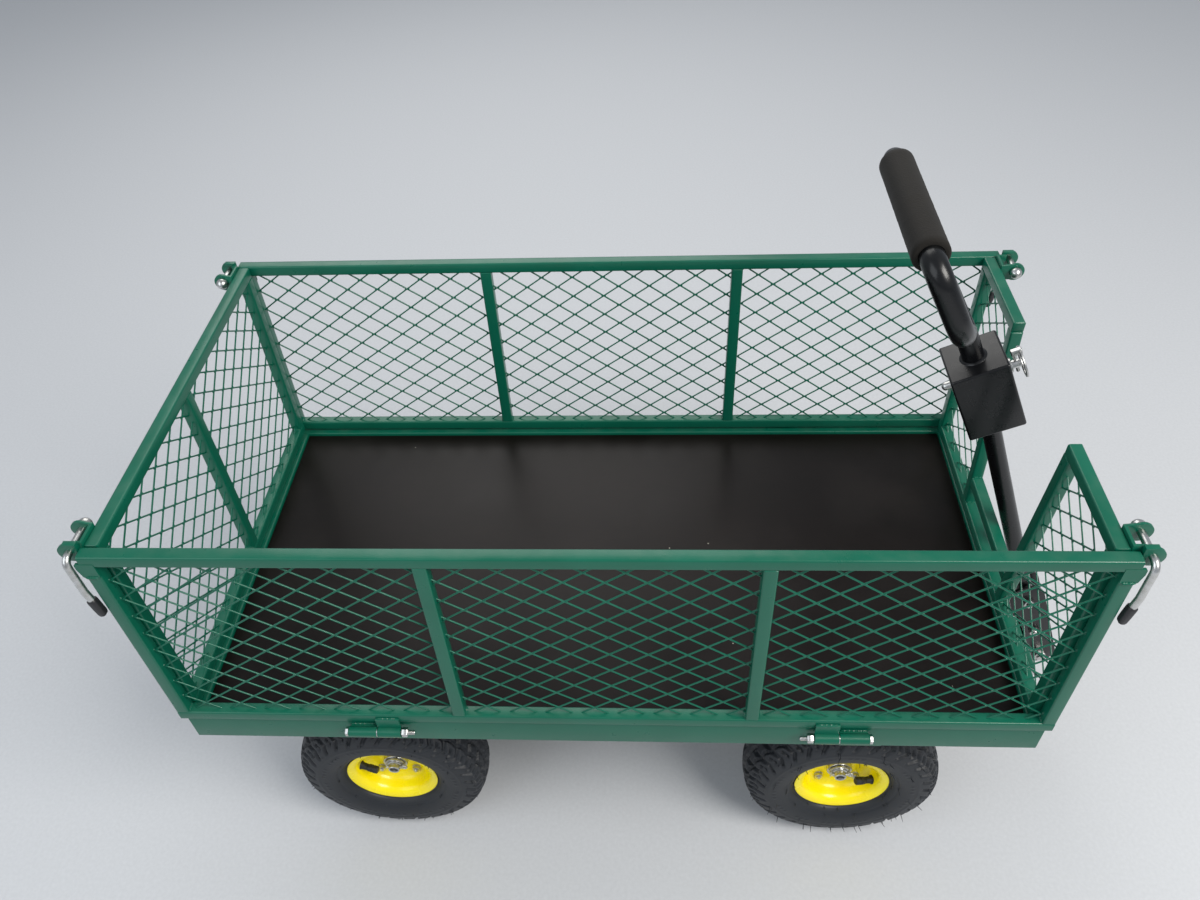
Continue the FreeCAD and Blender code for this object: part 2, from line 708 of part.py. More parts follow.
def latch_grip(end, side):
    """Soft sleeve over the lever's tail, slightly wider towards its tip."""
    points = lever_points(end, side)
    tail = (points[3] - points[2]).normalize()
    top = points[3] - tail * GRIP_LENGTH
    cone = Part.makeCone(GRIP_RADIUS - 0.6, GRIP_RADIUS, GRIP_LENGTH, top, tail)
    return cone.cut(rod(top, points[3] - tail * 4.0, ROD_RADIUS))


# ---------------------------------------------------------------- wheels


def spin(profile, x, side):
    """Solid of revolution about a wheel's axle from (offset, radius) points."""
    centre = side * TRACK / 2.0
    points = [Vec(x, centre + side * offset, TYRE_RADIUS + radius) for offset, radius in profile]
    face = Part.Face(Part.makePolygon(points + [points[0]]))
    return face.revolve(Vec(x, centre, TYRE_RADIUS), Vec(0, 1, 0), 360.0)


def oval(half_width, low, high, count):
    """Rounded cross-section of the tyre from one bead over the crown to the other."""
    middle = (low + high) / 2.0
    height = (high - low) / 2.0
    points = []
    for k in range(count + 1):
        angle = math.radians(-128.0 + 256.0 * k / count)
        offset = half_width * math.copysign(abs(math.sin(angle)) ** 0.72, math.sin(angle))
        radius = middle + height * math.copysign(abs(math.cos(angle)) ** 0.82, math.cos(angle))
        points.append((offset, radius))
    return points


def tyre(x, side):
    """Hollow pneumatic tyre, open towards the rim."""
    outer = oval(TYRE_WIDTH / 2.0, 46.0, TYRE_RADIUS, 24)
    inner = oval(TYRE_WIDTH / 2.0 - 6.0, 56.0, TYRE_RADIUS - 8.0, 24)
    bead = RIM_HALF_WIDTH - RIM_SHEET - 1.0
    seat = RIM_WELL_RADIUS + 1.5
    outer = [p for p in outer if p[1] > RIM_RADIUS + 1.0]
    inner = [p for p in inner if p[1] > RIM_RADIUS + 1.0]
    profile = [(-bead, seat), (-bead, RIM_RADIUS)] + outer + [(bead, RIM_RADIUS), (bead, seat)]
    profile += [(bead - 9.0, seat)] + list(reversed(inner)) + [(9.0 - bead, seat)]
    return spin(profile, x, side)


def valve_point(x, side, valve_angle, radius):
    """Point on the centre line of the valve, which slants outwards as it nears the axle."""
    angle = math.radians(valve_angle)
    offset = VALVE_TIP_OFFSET - VALVE_SLANT * (radius - VALVE_TIP_RADIUS)
    return Vec(x + radius * math.cos(angle), side * (TRACK / 2.0 + offset),
               TYRE_RADIUS + radius * math.sin(angle))


def inner_tube(x, side, valve_angle):
    """Air tube with its rubber valve stem and cap, which turn in through the rim's well."""
    centre = Vec(x, side * TRACK / 2.0, TYRE_RADIUS)
    torus = Part.makeTorus(90.0, 28.0, centre, Vec(0, 1, 0))
    root = valve_point(x, side, valve_angle, 66.0)
    neck = valve_point(x, side, valve_angle, 36.0)
    tip = valve_point(x, side, valve_angle, VALVE_TIP_RADIUS)
    return fuse([torus, rod(root, tip, 4.4), rod(neck, tip, 5.4)])


def rim(x, side, valve_angle):
    """Two pressed halves, back to back on the wheel's middle plane."""
    halves = []
    for way in (-1, 1):
        edge = way * RIM_HALF_WIDTH
        skin = way * RIM_SHEET
        profile = [
            (0.0, HUB_RADIUS), (0.0, RIM_WELL_RADIUS - 7.0), (edge * 0.30, RIM_WELL_RADIUS),
            (edge - skin, RIM_WELL_RADIUS), (edge - skin, RIM_RADIUS), (edge, RIM_RADIUS),
            (edge, RIM_WELL_RADIUS - RIM_SHEET), (edge * 0.34, RIM_WELL_RADIUS - RIM_SHEET),
            (skin, RIM_WELL_RADIUS - 9.0), (skin, HUB_RADIUS),
        ]
        halves.append(spin(profile, x, side))
    valve_hole = rod(valve_point(x, side, valve_angle, 60.0),
                     valve_point(x, side, valve_angle, 32.0), 4.8)
    halves[1] = halves[1].cut(valve_hole)
    bolts = [rod(p - Vec(0, 6, 0), p + Vec(0, 6, 0), 3.1) for p in bolt_places(x, side)]
    drilled = [half.cut(Part.makeCompound(bolts)) for half in halves]
    return Part.makeCompound(drilled)


def bolt_places(x, side):
    """Centres of the four rim bolts on the wheel's middle plane."""
    places = []
    for k in range(4):
        angle = math.radians(45.0 + 90.0 * k)
        places.append(Vec(x + RIM_BOLT_CIRCLE * math.cos(angle), side * TRACK / 2.0,
                          TYRE_RADIUS + RIM_BOLT_CIRCLE * math.sin(angle)))
    return places


def rim_bolts(x, side):
    """Four bolts with nuts that clamp the rim halves."""
    pieces = []
    for place in bolt_places(x, side):
        out = Vec(0, side, 0)
        pieces.append(fuse([
            rod(place - out * 10.0, place + out * 4.0, 3.0),
            hex_prism(place + out * RIM_SHEET, place + out * 6.5, 10.0),
            hex_prism(place - out * 7.5, place - out * RIM_SHEET, 10.0),
        ]))
    return Part.makeCompound(pieces)


def hub(x, side):
    """Hub barrel with a bearing pressed into each end."""
    centre = side * TRACK / 2.0

    def along(offset):
        return Vec(x, centre + side * offset, TYRE_RADIUS)

    barrel = ring(along(-HUB_INNER_HALF), along(HUB_OUTER_HALF), HUB_RADIUS, BEARING_RADIUS - 4.0)
    seats = [
        rod(along(-HUB_INNER_HALF), along(BEARING_LENGTH - HUB_INNER_HALF), BEARING_RADIUS),
        rod(along(HUB_OUTER_HALF - BEARING_LENGTH), along(HUB_OUTER_HALF), BEARING_RADIUS),
    ]
    bearings = [
        ring(along(-HUB_INNER_HALF), along(BEARING_LENGTH - HUB_INNER_HALF), BEARING_RADIUS,
             AXLE_RADIUS + FIT),
        ring(along(HUB_OUTER_HALF - BEARING_LENGTH), along(HUB_OUTER_HALF), BEARING_RADIUS,
             AXLE_RADIUS + FIT),
    ]
    return Part.makeCompound([barrel.cut(Part.makeCompound(seats))] + bearings)


# ---------------------------------------------------------------- steering and handle


def steering_frame():
    """Turning plate, raked legs and front axle beam."""
    x = FRONT_AXLE_X
    under = TURNTABLE_TOP - TURNTABLE_THICKNESS
    disc = rod(Vec(x, 0, under), Vec(x, 0, TURNTABLE_TOP), TURNTABLE_RADIUS)
    hole = rod(Vec(x, 0, under), Vec(x, 0, TURNTABLE_TOP), KINGPIN_RADIUS + FIT)
    return fuse([disc, axle_support(x, under, 42.0)]).cut(hole)


def tongue():
    """Draw bar from the axle beam forward to the handle's pivot."""
    half = TONGUE_HEIGHT / 2.0
    start = FRONT_AXLE_X + AXLE_BEAM / 2.0
    low = PIVOT_Z - half
    high = PIVOT_Z + half
    bar = box(start, PIVOT_X, -TONGUE_HALF_WIDTH, TONGUE_HALF_WIDTH, low, high)
    eye = rod(Vec(PIVOT_X, -TONGUE_HALF_WIDTH, PIVOT_Z), Vec(PIVOT_X, TONGUE_HALF_WIDTH, PIVOT_Z), half)
    brace = plate([
        Vec(start, -TONGUE_HALF_WIDTH, low), Vec(start, -70.0, low),
        Vec(start + 90.0, -TONGUE_HALF_WIDTH, low),
    ], Vec(0, 0, 5.0))
    mirrored = brace.mirror(Vec(0, 0, 0), Vec(0, 1, 0))
    bore = rod(Vec(PIVOT_X, -20, PIVOT_Z), Vec(PIVOT_X, 20, PIVOT_Z), PIVOT_BOLT_RADIUS)
    return fuse([bar, eye, brace, mirrored]).cut(bore)


def tongue_pivot_bolt():
    """Bolt through the tongue's eye and the handle's bracket."""
    reach = SHAFT_RADIUS + 1.5 + BRACKET_PLATE + 0.6
    return fuse([
        rod(Vec(PIVOT_X, -reach - 11.0, PIVOT_Z), Vec(PIVOT_X, reach, PIVOT_Z), PIVOT_BOLT_RADIUS),
        hex_prism(Vec(PIVOT_X, reach, PIVOT_Z), Vec(PIVOT_X, reach + 6.0, PIVOT_Z), 16.0),
        hex_prism(Vec(PIVOT_X, -reach - 8.0, PIVOT_Z), Vec(PIVOT_X, -reach, PIVOT_Z), 16.0),
    ])


def on_handle(shape, lean, base):
    """Turn a shape drawn upright at the origin to a lean and move it to its base point."""
    turned = shape.copy()
    turned.Placement = FreeCAD.Placement(base, FreeCAD.Rotation(Vec(0, 1, 0), -lean))
    return turned


def head_centre():
    """Centre of the hitch head on the shaft's line."""
    lean = math.radians(SHAFT_LEAN)
    return Vec(PIVOT_X - HEAD_DISTANCE * math.sin(lean), 0.0, PIVOT_Z + HEAD_DISTANCE * math.cos(lean))


def handle_shaft():
    """Round tube from the bracket up into the hitch head."""
    top = HEAD_DISTANCE - HEAD_HEIGHT / 2.0 + HEAD_WALL
    tube = ring(Vec(0, 0, SHAFT_START), Vec(0, 0, top), SHAFT_RADIUS, SHAFT_RADIUS - SHAFT_WALL)
    for z in (SHAFT_START + 18.0, SHAFT_START + 88.0):
        tube = tube.cut(rod(Vec(0, -20, z), Vec(0, 20, z), 4.0))
    return on_handle(tube, SHAFT_LEAN, Vec(PIVOT_X, 0, PIVOT_Z))


def handle_bracket():
    """Two cheek plates that join the shaft to the tongue."""
    cheeks = []
    for side in (-1, 1):
        inner = side * (SHAFT_RADIUS + 1.5)
        outer = side * (SHAFT_RADIUS + 1.5 + BRACKET_PLATE)
        half = BRACKET_WIDTH / 2.0
        body = box(-half, half, inner, outer, 0.0, BRACKET_LENGTH - half)
        ends = [rod(Vec(0, inner, 0), Vec(0, outer, 0), half),
                rod(Vec(0, inner, BRACKET_LENGTH - half), Vec(0, outer, BRACKET_LENGTH - half), half)]
        cheek = fuse([body] + ends)
        cheek = cheek.cut(rod(Vec(0, inner, 0), Vec(0, outer, 0), PIVOT_BOLT_RADIUS + FIT))
        for z in (SHAFT_START + 18.0, SHAFT_START + 88.0):
            cheek = cheek.cut(rod(Vec(0, inner, z), Vec(0, outer, z), 4.0))
        cheeks.append(cheek)
    spacers = []
    for z in (SHAFT_START + 18.0, SHAFT_START + 88.0):
        for side in (-1, 1):
            face = side * (SHAFT_RADIUS + 1.5)
            shim = ring(Vec(0, side * (SHAFT_RADIUS - 3.0), z), Vec(0, face, z), 8.0, 4.0)
            spacers.append(shim.cut(rod(Vec(0, 0, 0), Vec(0, 0, 200.0), SHAFT_RADIUS)))
    return on_handle(Part.makeCompound(cheeks + spacers), SHAFT_LEAN, Vec(PIVOT_X, 0, PIVOT_Z))


def bracket_bolts():
    """Two bolts through the cheeks and the shaft."""
    reach = SHAFT_RADIUS + 1.5 + BRACKET_PLATE
    pieces = []
    for z in (SHAFT_START + 18.0, SHAFT_START + 88.0):
        pieces.append(fuse([
            rod(Vec(0, -reach - 9.0, z), Vec(0, reach + 0.5, z), 4.0),
            hex_prism(Vec(0, reach, z), Vec(0, reach + 5.0, z), 13.0),
            hex_prism(Vec(0, -reach - 6.5, z), Vec(0, -reach, z), 13.0),
        ]))
    return on_handle(Part.makeCompound(pieces), SHAFT_LEAN, Vec(PIVOT_X, 0, PIVOT_Z))


def hitch_head():
    """Square steel head between shaft and hand loop, closed at the top round the neck."""
    half_x = HEAD_DEPTH / 2.0
    half_y = HEAD_WIDTH / 2.0
    half_z = HEAD_HEIGHT / 2.0
    outer = box(-half_x, half_x, -half_y, half_y, -half_z, half_z)
    upright = [e for e in outer.Edges if abs(e.tangentAt(e.FirstParameter).z) > 0.9]
    outer = outer.makeFillet(2.5, upright)
    hollow = box(HEAD_WALL - half_x, half_x - HEAD_WALL, HEAD_WALL - half_y, half_y - HEAD_WALL,
                 HEAD_WALL - half_z, half_z - HEAD_WALL)
    head = outer.cut(hollow)
    head = head.cut(rod(Vec(0, 0, 0), Vec(0, 0, half_z + 1.0), LOOP_TUBE_RADIUS))
    pin = PIN_HEIGHT_IN_HEAD
    head = head.cut(rod(Vec(-half_x - 1, 0, pin), Vec(half_x + 1, 0, pin), PIN_RADIUS + FIT))
    socket = rod(Vec(0, 0, -half_z - 1.0), Vec(0, 0, HEAD_WALL - half_z + 0.5), SHAFT_RADIUS)
    lean = HEAD_LEAN - SHAFT_LEAN
    socket.rotate(Vec(0, 0, 0), Vec(0, 1, 0), lean)
    head = head.cut(socket)
    return on_handle(head, HEAD_LEAN, head_centre())


def hand_loop():
    """Closed loop of tube: a neck in the head, two arms and a cross bar."""
    neck = Vec(0, 0, LOOP_NECK)
    arms = []
    for side in (-1, 1):
        shoulder = Vec(-SHOULDER_SET_BACK, side * LOOP_HALF_WIDTH, LOOP_SHOULDER)
        corner = Vec(-LOOP_SET_BACK, side * LOOP_HALF_WIDTH * 0.98, LOOP_TOP)
        middle = Vec(-LOOP_SET_BACK, 0, LOOP_TOP)
        arms.append(bent_bar([neck, shoulder, corner, middle], LOOP_TUBE_RADIUS, [46.0, 20.0]))
    stem = rod(Vec(0, 0, 2.0), Vec(0, 0, LOOP_NECK + 4.0), LOOP_TUBE_RADIUS)
    joint = Part.makeSphere(LOOP_TUBE_RADIUS, neck)
    loop = fuse([stem, joint] + arms)
    hole = rod(Vec(-40, 0, PIN_HEIGHT_IN_HEAD), Vec(40, 0, PIN_HEIGHT_IN_HEAD), PIN_RADIUS + FIT)
    return on_handle(loop.cut(hole), HEAD_LEAN, head_centre())


def foam_grip():
    """Foam sleeve on the loop's cross bar."""
    half = FOAM_HALF_LENGTH
    start = Vec(-LOOP_SET_BACK, -half, LOOP_TOP)
    end = Vec(-LOOP_SET_BACK, half, LOOP_TOP)
    sleeve = rod(start, end, FOAM_RADIUS)
    sleeve = sleeve.makeFillet(5.0, [e for e in sleeve.Edges if e.Closed])
    return on_handle(sleeve.cut(rod(start, end, LOOP_TUBE_RADIUS)), HEAD_LEAN, head_centre())


def hitch_pin():
    """Round-nosed pin across the head that holds the hand loop, with a collar and a cross hole."""
    z = PIN_HEIGHT_IN_HEAD
    face = HEAD_DEPTH / 2.0
    shank = rod(Vec(-face - PIN_NOSE, 0, z), Vec(face + CLIP_REACH + 4.5, 0, z), PIN_RADIUS)
    nose = Part.makeSphere(PIN_RADIUS, Vec(-face - PIN_NOSE, 0, z))
    collar = rod(Vec(face + 0.5, 0, z), Vec(face + 3.5, 0, z), 8.5)
    hole = rod(Vec(face + CLIP_REACH, 0, z - 9.0), Vec(face + CLIP_REACH, 0, z + 9.0), CLIP_RADIUS + FIT)
    return on_handle(fuse([shank, nose, collar]).cut(hole), HEAD_LEAN, head_centre())


def lynch_clip():
    """Clip through the pin's free end, with the ring that it is pulled by."""
    z = PIN_HEIGHT_IN_HEAD
    x = HEAD_DEPTH / 2.0 + CLIP_REACH
    ring_x = x + 6.5
    shank = rod(Vec(x, 0, z - 12.0), Vec(x, 0, z + 16.0), CLIP_RADIUS)
    lug = box(x - 3.0, ring_x + 2.5, -3.0, 3.0, z + 13.0, z + 20.0)
    loop = Part.makeTorus(CLIP_RING_RADIUS, 1.5, Vec(ring_x, 0, z), Vec(1, 0, 0))
    return on_handle(fuse([shank, lug, loop]), HEAD_LEAN, head_centre())


# ---------------------------------------------------------------- export


def wheel_nodes(name, x, side, valve_angle):
    """The five nodes of one wheel."""
    return {
        name + "_tyre": tyre(x, side),
        name + "_inner_tube": inner_tube(x, side, valve_angle),
        name + "_rim": rim(x, side, valve_angle),
        name + "_rim_bolts": rim_bolts(x, side),
        name + "_hub": hub(x, side),
    }


def all_nodes():
    """Every node of the cart by name."""
    nodes = {
        "deck_frame": deck_frame(),
        "deck_cross_members": cross_members(),
        "deck_board": deck_board(),
        "frame_hinge_knuckles": frame_knuckles(),
        "panel_hinge_bolts": hinge_bolts(),
        "rear_axle_support": rear_axle_support(),
        "rear_axle_shaft": axle_shaft(REAR_AXLE_X),
        "front_pivot_beam": front_pivot_beam(),
        "kingpin": kingpin(),
        "rear_panel_frame": rear_panel_frame(),
        "rear_panel_mesh": rear_panel_mesh(),
        "front_gate_frame": gate_frame(),
        "front_gate_mesh": gate_mesh(),
        "steering_frame": steering_frame(),
        "front_axle_shaft": axle_shaft(FRONT_AXLE_X),
        "tongue": tongue(),
        "tongue_pivot_bolt": tongue_pivot_bolt(),
        "handle_shaft": handle_shaft(),
        "handle_bracket": handle_bracket(),
        "handle_bracket_bolts": bracket_bolts(),
        "hitch_head": hitch_head(),
        "hand_loop": hand_loop(),
        "foam_grip": foam_grip(),
        "hitch_pin": hitch_pin(),
        "lynch_clip": lynch_clip(),
    }
    for side_name, side in SIDES.items():
        nodes[side_name + "_panel_frame"] = side_panel_frame(side)
        nodes[side_name + "_panel_mesh"] = side_panel_mesh(side)
        for end_name, end in ENDS.items():
            corner = end_name + "_" + side_name
            nodes[corner + "_latch_lever"] = latch_lever(end, side)
            nodes[corner + "_latch_grip"] = latch_grip(end, side)
            x = FRONT_AXLE_X if end > 0 else REAR_AXLE_X
            valve_angle = -20.0 if end > 0 else 180.0
            nodes.update(wheel_nodes(corner, x, side, valve_angle))
    for end_name, end in ENDS.items():
        nodes[end_name + "_latch_brackets"] = latch_brackets(end)
    return nodes


def export_all():
    """Write each node to parts/ in the shared frame."""
    os.makedirs("parts", exist_ok=True)
    for name, shape in all_nodes().items():
        moved = shape.copy()
        moved.translate(SHIFT)
        moved.exportStep("parts/" + name + ".step")


export_all()
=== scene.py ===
"""Garden cart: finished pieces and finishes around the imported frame, in metres."""
import json
import math
import random

import bmesh
import bpy
from mathutils import Matrix, Vector


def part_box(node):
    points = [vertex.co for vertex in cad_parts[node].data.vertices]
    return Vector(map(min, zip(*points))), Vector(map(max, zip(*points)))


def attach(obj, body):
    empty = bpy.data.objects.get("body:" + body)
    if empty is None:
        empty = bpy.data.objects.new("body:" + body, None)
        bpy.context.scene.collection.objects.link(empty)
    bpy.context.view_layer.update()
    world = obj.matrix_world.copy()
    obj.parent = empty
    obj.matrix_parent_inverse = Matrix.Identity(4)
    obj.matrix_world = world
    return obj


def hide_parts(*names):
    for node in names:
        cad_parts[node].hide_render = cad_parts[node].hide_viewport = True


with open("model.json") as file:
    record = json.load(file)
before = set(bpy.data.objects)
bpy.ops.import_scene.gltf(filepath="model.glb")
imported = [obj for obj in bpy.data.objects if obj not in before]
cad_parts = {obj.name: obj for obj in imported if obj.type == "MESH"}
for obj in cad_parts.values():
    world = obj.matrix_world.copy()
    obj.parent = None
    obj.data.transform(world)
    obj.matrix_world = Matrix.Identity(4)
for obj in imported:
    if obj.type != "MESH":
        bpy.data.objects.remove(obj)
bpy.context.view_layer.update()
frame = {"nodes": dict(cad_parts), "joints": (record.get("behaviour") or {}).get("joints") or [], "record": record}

MM = 0.001
X = Vector((1.0, 0.0, 0.0))
Y = Vector((0.0, 1.0, 0.0))
Z = Vector((0.0, 0.0, 1.0))
JOINTS = {joint["name"]: joint for joint in frame["joints"]}
frame_low, frame_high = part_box("deck_frame")
frame_middle = (frame_low + frame_high) / 2.0
SIDES = {"right": -1, "left": 1}
ENDS = {"rear": -1, "front": 1}

# Welded panels
TUBE = 15 * MM
TUBE_CORNER = 2.2 * MM
STRAND_WIDTH = 1.9 * MM
STRAND_DEPTH = 1.7 * MM
PITCH_LONG = 42 * MM
PITCH_TALL = 31 * MM
STRAND_LEAN = 24.0
KNUCKLE_HALF = 3.2 * MM
MESH_TUCK = 2.5 * MM
NOTCH_FLOOR = 410 * MM
NOTCH_HALF = 82 * MM
NOTCH_SLOPE = 0.09
FRAME_WALL = 16 * MM
BEARER_WIDTH = 24 * MM

# Hinges and latches
SIDE_HINGE = (243 * MM, 272 * MM)
END_HINGE = (110 * MM, 139 * MM)
BARREL_RADIUS = 6.5 * MM
BARREL_BORE = 3.05 * MM
PANEL_BARREL = 28 * MM
FRAME_BARREL = 34 * MM
HINGE_BOLT = 2.99 * MM
HINGE_HEX = 10 * MM
LATCH_ROD = 4 * MM
LATCH_DROP = 48 * MM
LATCH_TAIL = 38 * MM
LATCH_LEAN = math.radians(8.0)
LATCH_SLEEVE = 25 * MM

# Wheels
TREAD_ROUND = 816.0
TREAD_DEPTH = 3.8 * MM
TREAD_BLOCKS = 34
TYRE_STEPS = 476
HAIRS = 150
RIM_HAIRS = 22
ENDS_VALVE = {"front": math.radians(-20.0), "rear": math.radians(180.0)}

# Handle, in the square head's own axes
LOOP_TUBE = 12 * MM
LOOP_HALF = 113 * MM
LOOP_TOP = 257 * MM
LOOP_SHOULDER = 178 * MM
LOOP_NECK = 85 * MM
LOOP_SET_BACK = 11.5 * MM
SHOULDER_SET_BACK = 8 * MM
FOAM_RADIUS = 18 * MM
SHAFT_RADIUS = 11 * MM
HEAD_SIZE = (63 * MM, 64 * MM, 95 * MM)
PIN_LIFT = 17.5 * MM


# ---------------------------------------------------------------- finishes


def linear(hex_colour):
    """An sRGB hex colour as linear RGBA."""
    channels = []
    for k in (0, 2, 4):
        c = int(hex_colour[k:k + 2], 16) / 255.0
        channels.append(c / 12.92 if c <= 0.04045 else ((c + 0.055) / 1.055) ** 2.4)
    return (*channels, 1.0)


def add(tree, kind, inputs=None, **settings):
    """Add a node, set its properties, and fill or link its inputs."""
    node = tree.nodes.new(kind)
    for name, value in settings.items():
        setattr(node, name, value)
    for name, value in (inputs or {}).items():
        if isinstance(value, bpy.types.NodeSocket):
            tree.links.new(value, node.inputs[name])
        else:
            node.inputs[name].default_value = value
    return node


def per_mm(size_in_mm):
    """Texture scale whose features repeat about every so many millimetres."""
    return 1.0 / (size_in_mm * MM)


def start_finish(name, **shader_inputs):
    """New material with a Principled shader and object coordinates."""
    material = bpy.data.materials.new(name)
    material.use_nodes = True
    tree = material.node_tree
    shader = tree.nodes["Principled BSDF"]
    for socket, value in shader_inputs.items():
        shader.inputs[socket.replace("_", " ")].default_value = value
    place = add(tree, "ShaderNodeTexCoord").outputs["Object"]
    return material, tree, shader, place


def vary_colour(tree, shader, factor, dark, light):
    """Blend two colours by a factor into the base colour, and return the blend."""
    blend = add(tree, "ShaderNodeMix", {0: factor, 6: linear(dark), 7: linear(light)}, data_type="RGBA")
    tree.links.new(blend.outputs[2], shader.inputs["Base Color"])
    return blend


def vary_roughness(tree, shader, factor, smooth, rough):
    """Spread the roughness between two values by a factor."""
    spread = add(tree, "ShaderNodeMapRange", {"Value": factor, "To Min": smooth, "To Max": rough})
    tree.links.new(spread.outputs["Result"], shader.inputs["Roughness"])


def raise_surface(tree, shader, height, depth_mm, strength):
    """Bump the surface by a height texture."""
    bump = add(tree, "ShaderNodeBump", {"Height": height, "Distance": depth_mm * MM, "Strength": strength})
    tree.links.new(bump.outputs["Normal"], shader.inputs["Normal"])


def dust_mask(tree, place, grain_mm, share):
    """Patchy mask of settled dust on faces that look upwards."""
    up = add(tree, "ShaderNodeSeparateXYZ", {0: add(tree, "ShaderNodeNewGeometry").outputs["Normal"]})
    patch = add(tree, "ShaderNodeTexNoise", {"Vector": place, "Scale": per_mm(grain_mm), "Detail": 5.0})
    amount = add(tree, "ShaderNodeMath", {0: up.outputs["Z"], 1: patch.outputs["Fac"]}, operation="MULTIPLY")
    limits = {"Value": amount.outputs[0], "From Min": 0.42, "From Max": 0.75, "To Max": share}
    return add(tree, "ShaderNodeMapRange", limits).outputs["Result"]


def powder_coat(name, dark, light, roughness, dust):
    """Polyester powder baked on steel: an even gloss with orange peel of about 2 mm, and a little dust."""
    material, tree, shader, place = start_finish(name, IOR=1.42, Coat_Weight=0.1, Coat_Roughness=0.1)
    drift = add(tree, "ShaderNodeTexNoise", {"Vector": place, "Scale": per_mm(90), "Detail": 3.0})
    blend = vary_colour(tree, shader, drift.outputs["Fac"], dark, light)
    cover = add(tree, "ShaderNodeMix", {
        0: dust_mask(tree, place, 25, dust), 6: blend.outputs[2], 7: linear("A8ABA0"),
    }, data_type="RGBA")
    tree.links.new(cover.outputs[2], shader.inputs["Base Color"])
    rub = add(tree, "ShaderNodeTexNoise", {"Vector": place, "Scale": per_mm(14), "Detail": 4.0})
    vary_roughness(tree, shader, rub.outputs["Fac"], roughness - 0.08, roughness + 0.1)
    peel = add(tree, "ShaderNodeTexNoise", {"Vector": place, "Scale": per_mm(2.2), "Detail": 1.5})
    raise_surface(tree, shader, peel.outputs["Fac"], 0.12, 0.28)
    return material


def yellow_enamel():
    """Sprayed enamel on pressed steel: strong yellow, wet gloss, soft waves where the paint pooled."""
    material, tree, shader, place = start_finish("yellow_enamel_sprayed", IOR=1.45, Coat_Weight=0.2,
                                                 Coat_Roughness=0.08)
    drift = add(tree, "ShaderNodeTexNoise", {"Vector": place, "Scale": per_mm(30), "Detail": 3.0})
    vary_colour(tree, shader, drift.outputs["Fac"], "FFE200", "FFF000")
    vary_roughness(tree, shader, drift.outputs["Fac"], 0.2, 0.34)
    wave = add(tree, "ShaderNodeTexNoise", {"Vector": place, "Scale": per_mm(3.5), "Detail": 1.0})
    raise_surface(tree, shader, wave.outputs["Fac"], 0.15, 0.25)
    return material


def zinc_plate():
    """Bright zinc plated steel: cool metal, cloudy passivation, fine tumbling scratches."""
    material, tree, shader, place = start_finish("zinc_plated_steel", Metallic=1.0)
    cloud = add(tree, "ShaderNodeTexNoise", {"Vector": place, "Scale": per_mm(7), "Detail": 5.0})
    vary_colour(tree, shader, cloud.outputs["Fac"], "A7A59B", "E2E3E6")
    scratch = add(tree, "ShaderNodeTexNoise", {"Vector": place, "Scale": per_mm(1.2), "Detail": 6.0})
    vary_roughness(tree, shader, scratch.outputs["Fac"], 0.18, 0.42)
    raise_surface(tree, shader, scratch.outputs["Fac"], 0.03, 0.25)
    return material


def tyre_rubber():
    """Vulcanised tyre rubber: near black, dull, with a grey bloom and mould grain drawn at 1.5 mm."""
    material, tree, shader, place = start_finish("tyre_rubber_vulcanised", IOR=1.52)
    bloom = add(tree, "ShaderNodeTexNoise", {"Vector": place, "Scale": per_mm(35), "Detail": 6.0,
                                             "Roughness": 0.65})
    vary_colour(tree, shader, bloom.outputs["Fac"], "0D1015", "1F242B")
    vary_roughness(tree, shader, bloom.outputs["Fac"], 0.42, 0.64)
    grain = add(tree, "ShaderNodeTexNoise", {"Vector": place, "Scale": per_mm(1.5), "Detail": 3.0})
    raise_surface(tree, shader, grain.outputs["Fac"], 0.2, 0.35)
    return material


def foam_rubber():
    """Closed-cell foam sleeve: matt charcoal skin with pores, drawn at 1.6 mm so that they show."""
    material, tree, shader, place = start_finish("nitrile_foam_sleeve", IOR=1.3, Sheen_Weight=0.06,
                                                 Sheen_Roughness=0.5)
    cell = add(tree, "ShaderNodeTexVoronoi", {"Vector": place, "Scale": per_mm(1.6)})
    hand = add(tree, "ShaderNodeTexNoise", {"Vector": place, "Scale": per_mm(40), "Detail": 4.0})
    vary_colour(tree, shader, hand.outputs["Fac"], "14120F", "221F1B")
    vary_roughness(tree, shader, hand.outputs["Fac"], 0.72, 0.92)
    raise_surface(tree, shader, cell.outputs["Distance"], 0.35, 0.5)
    return material


def dipped_vinyl():
    """Soft PVC cap dipped over the rod: black, half gloss, slightly rippled."""
    material, tree, shader, place = start_finish("dipped_soft_vinyl", IOR=1.53)
    ripple = add(tree, "ShaderNodeTexNoise", {"Vector": place, "Scale": per_mm(4), "Detail": 2.0})
    vary_colour(tree, shader, ripple.outputs["Fac"], "151416", "262529")
    vary_roughness(tree, shader, ripple.outputs["Fac"], 0.34, 0.52)
    raise_surface(tree, shader, ripple.outputs["Fac"], 0.15, 0.3)
    return material


def valve_rubber():
    """Smooth moulded rubber of the inner tube and valve."""
    material, tree, shader, place = start_finish("moulded_tube_rubber", IOR=1.52)
    bloom = add(tree, "ShaderNodeTexNoise", {"Vector": place, "Scale": per_mm(8), "Detail": 3.0})
    vary_colour(tree, shader, bloom.outputs["Fac"], "0F0F10", "232326")
    vary_roughness(tree, shader, bloom.outputs["Fac"], 0.4, 0.6)
    return material


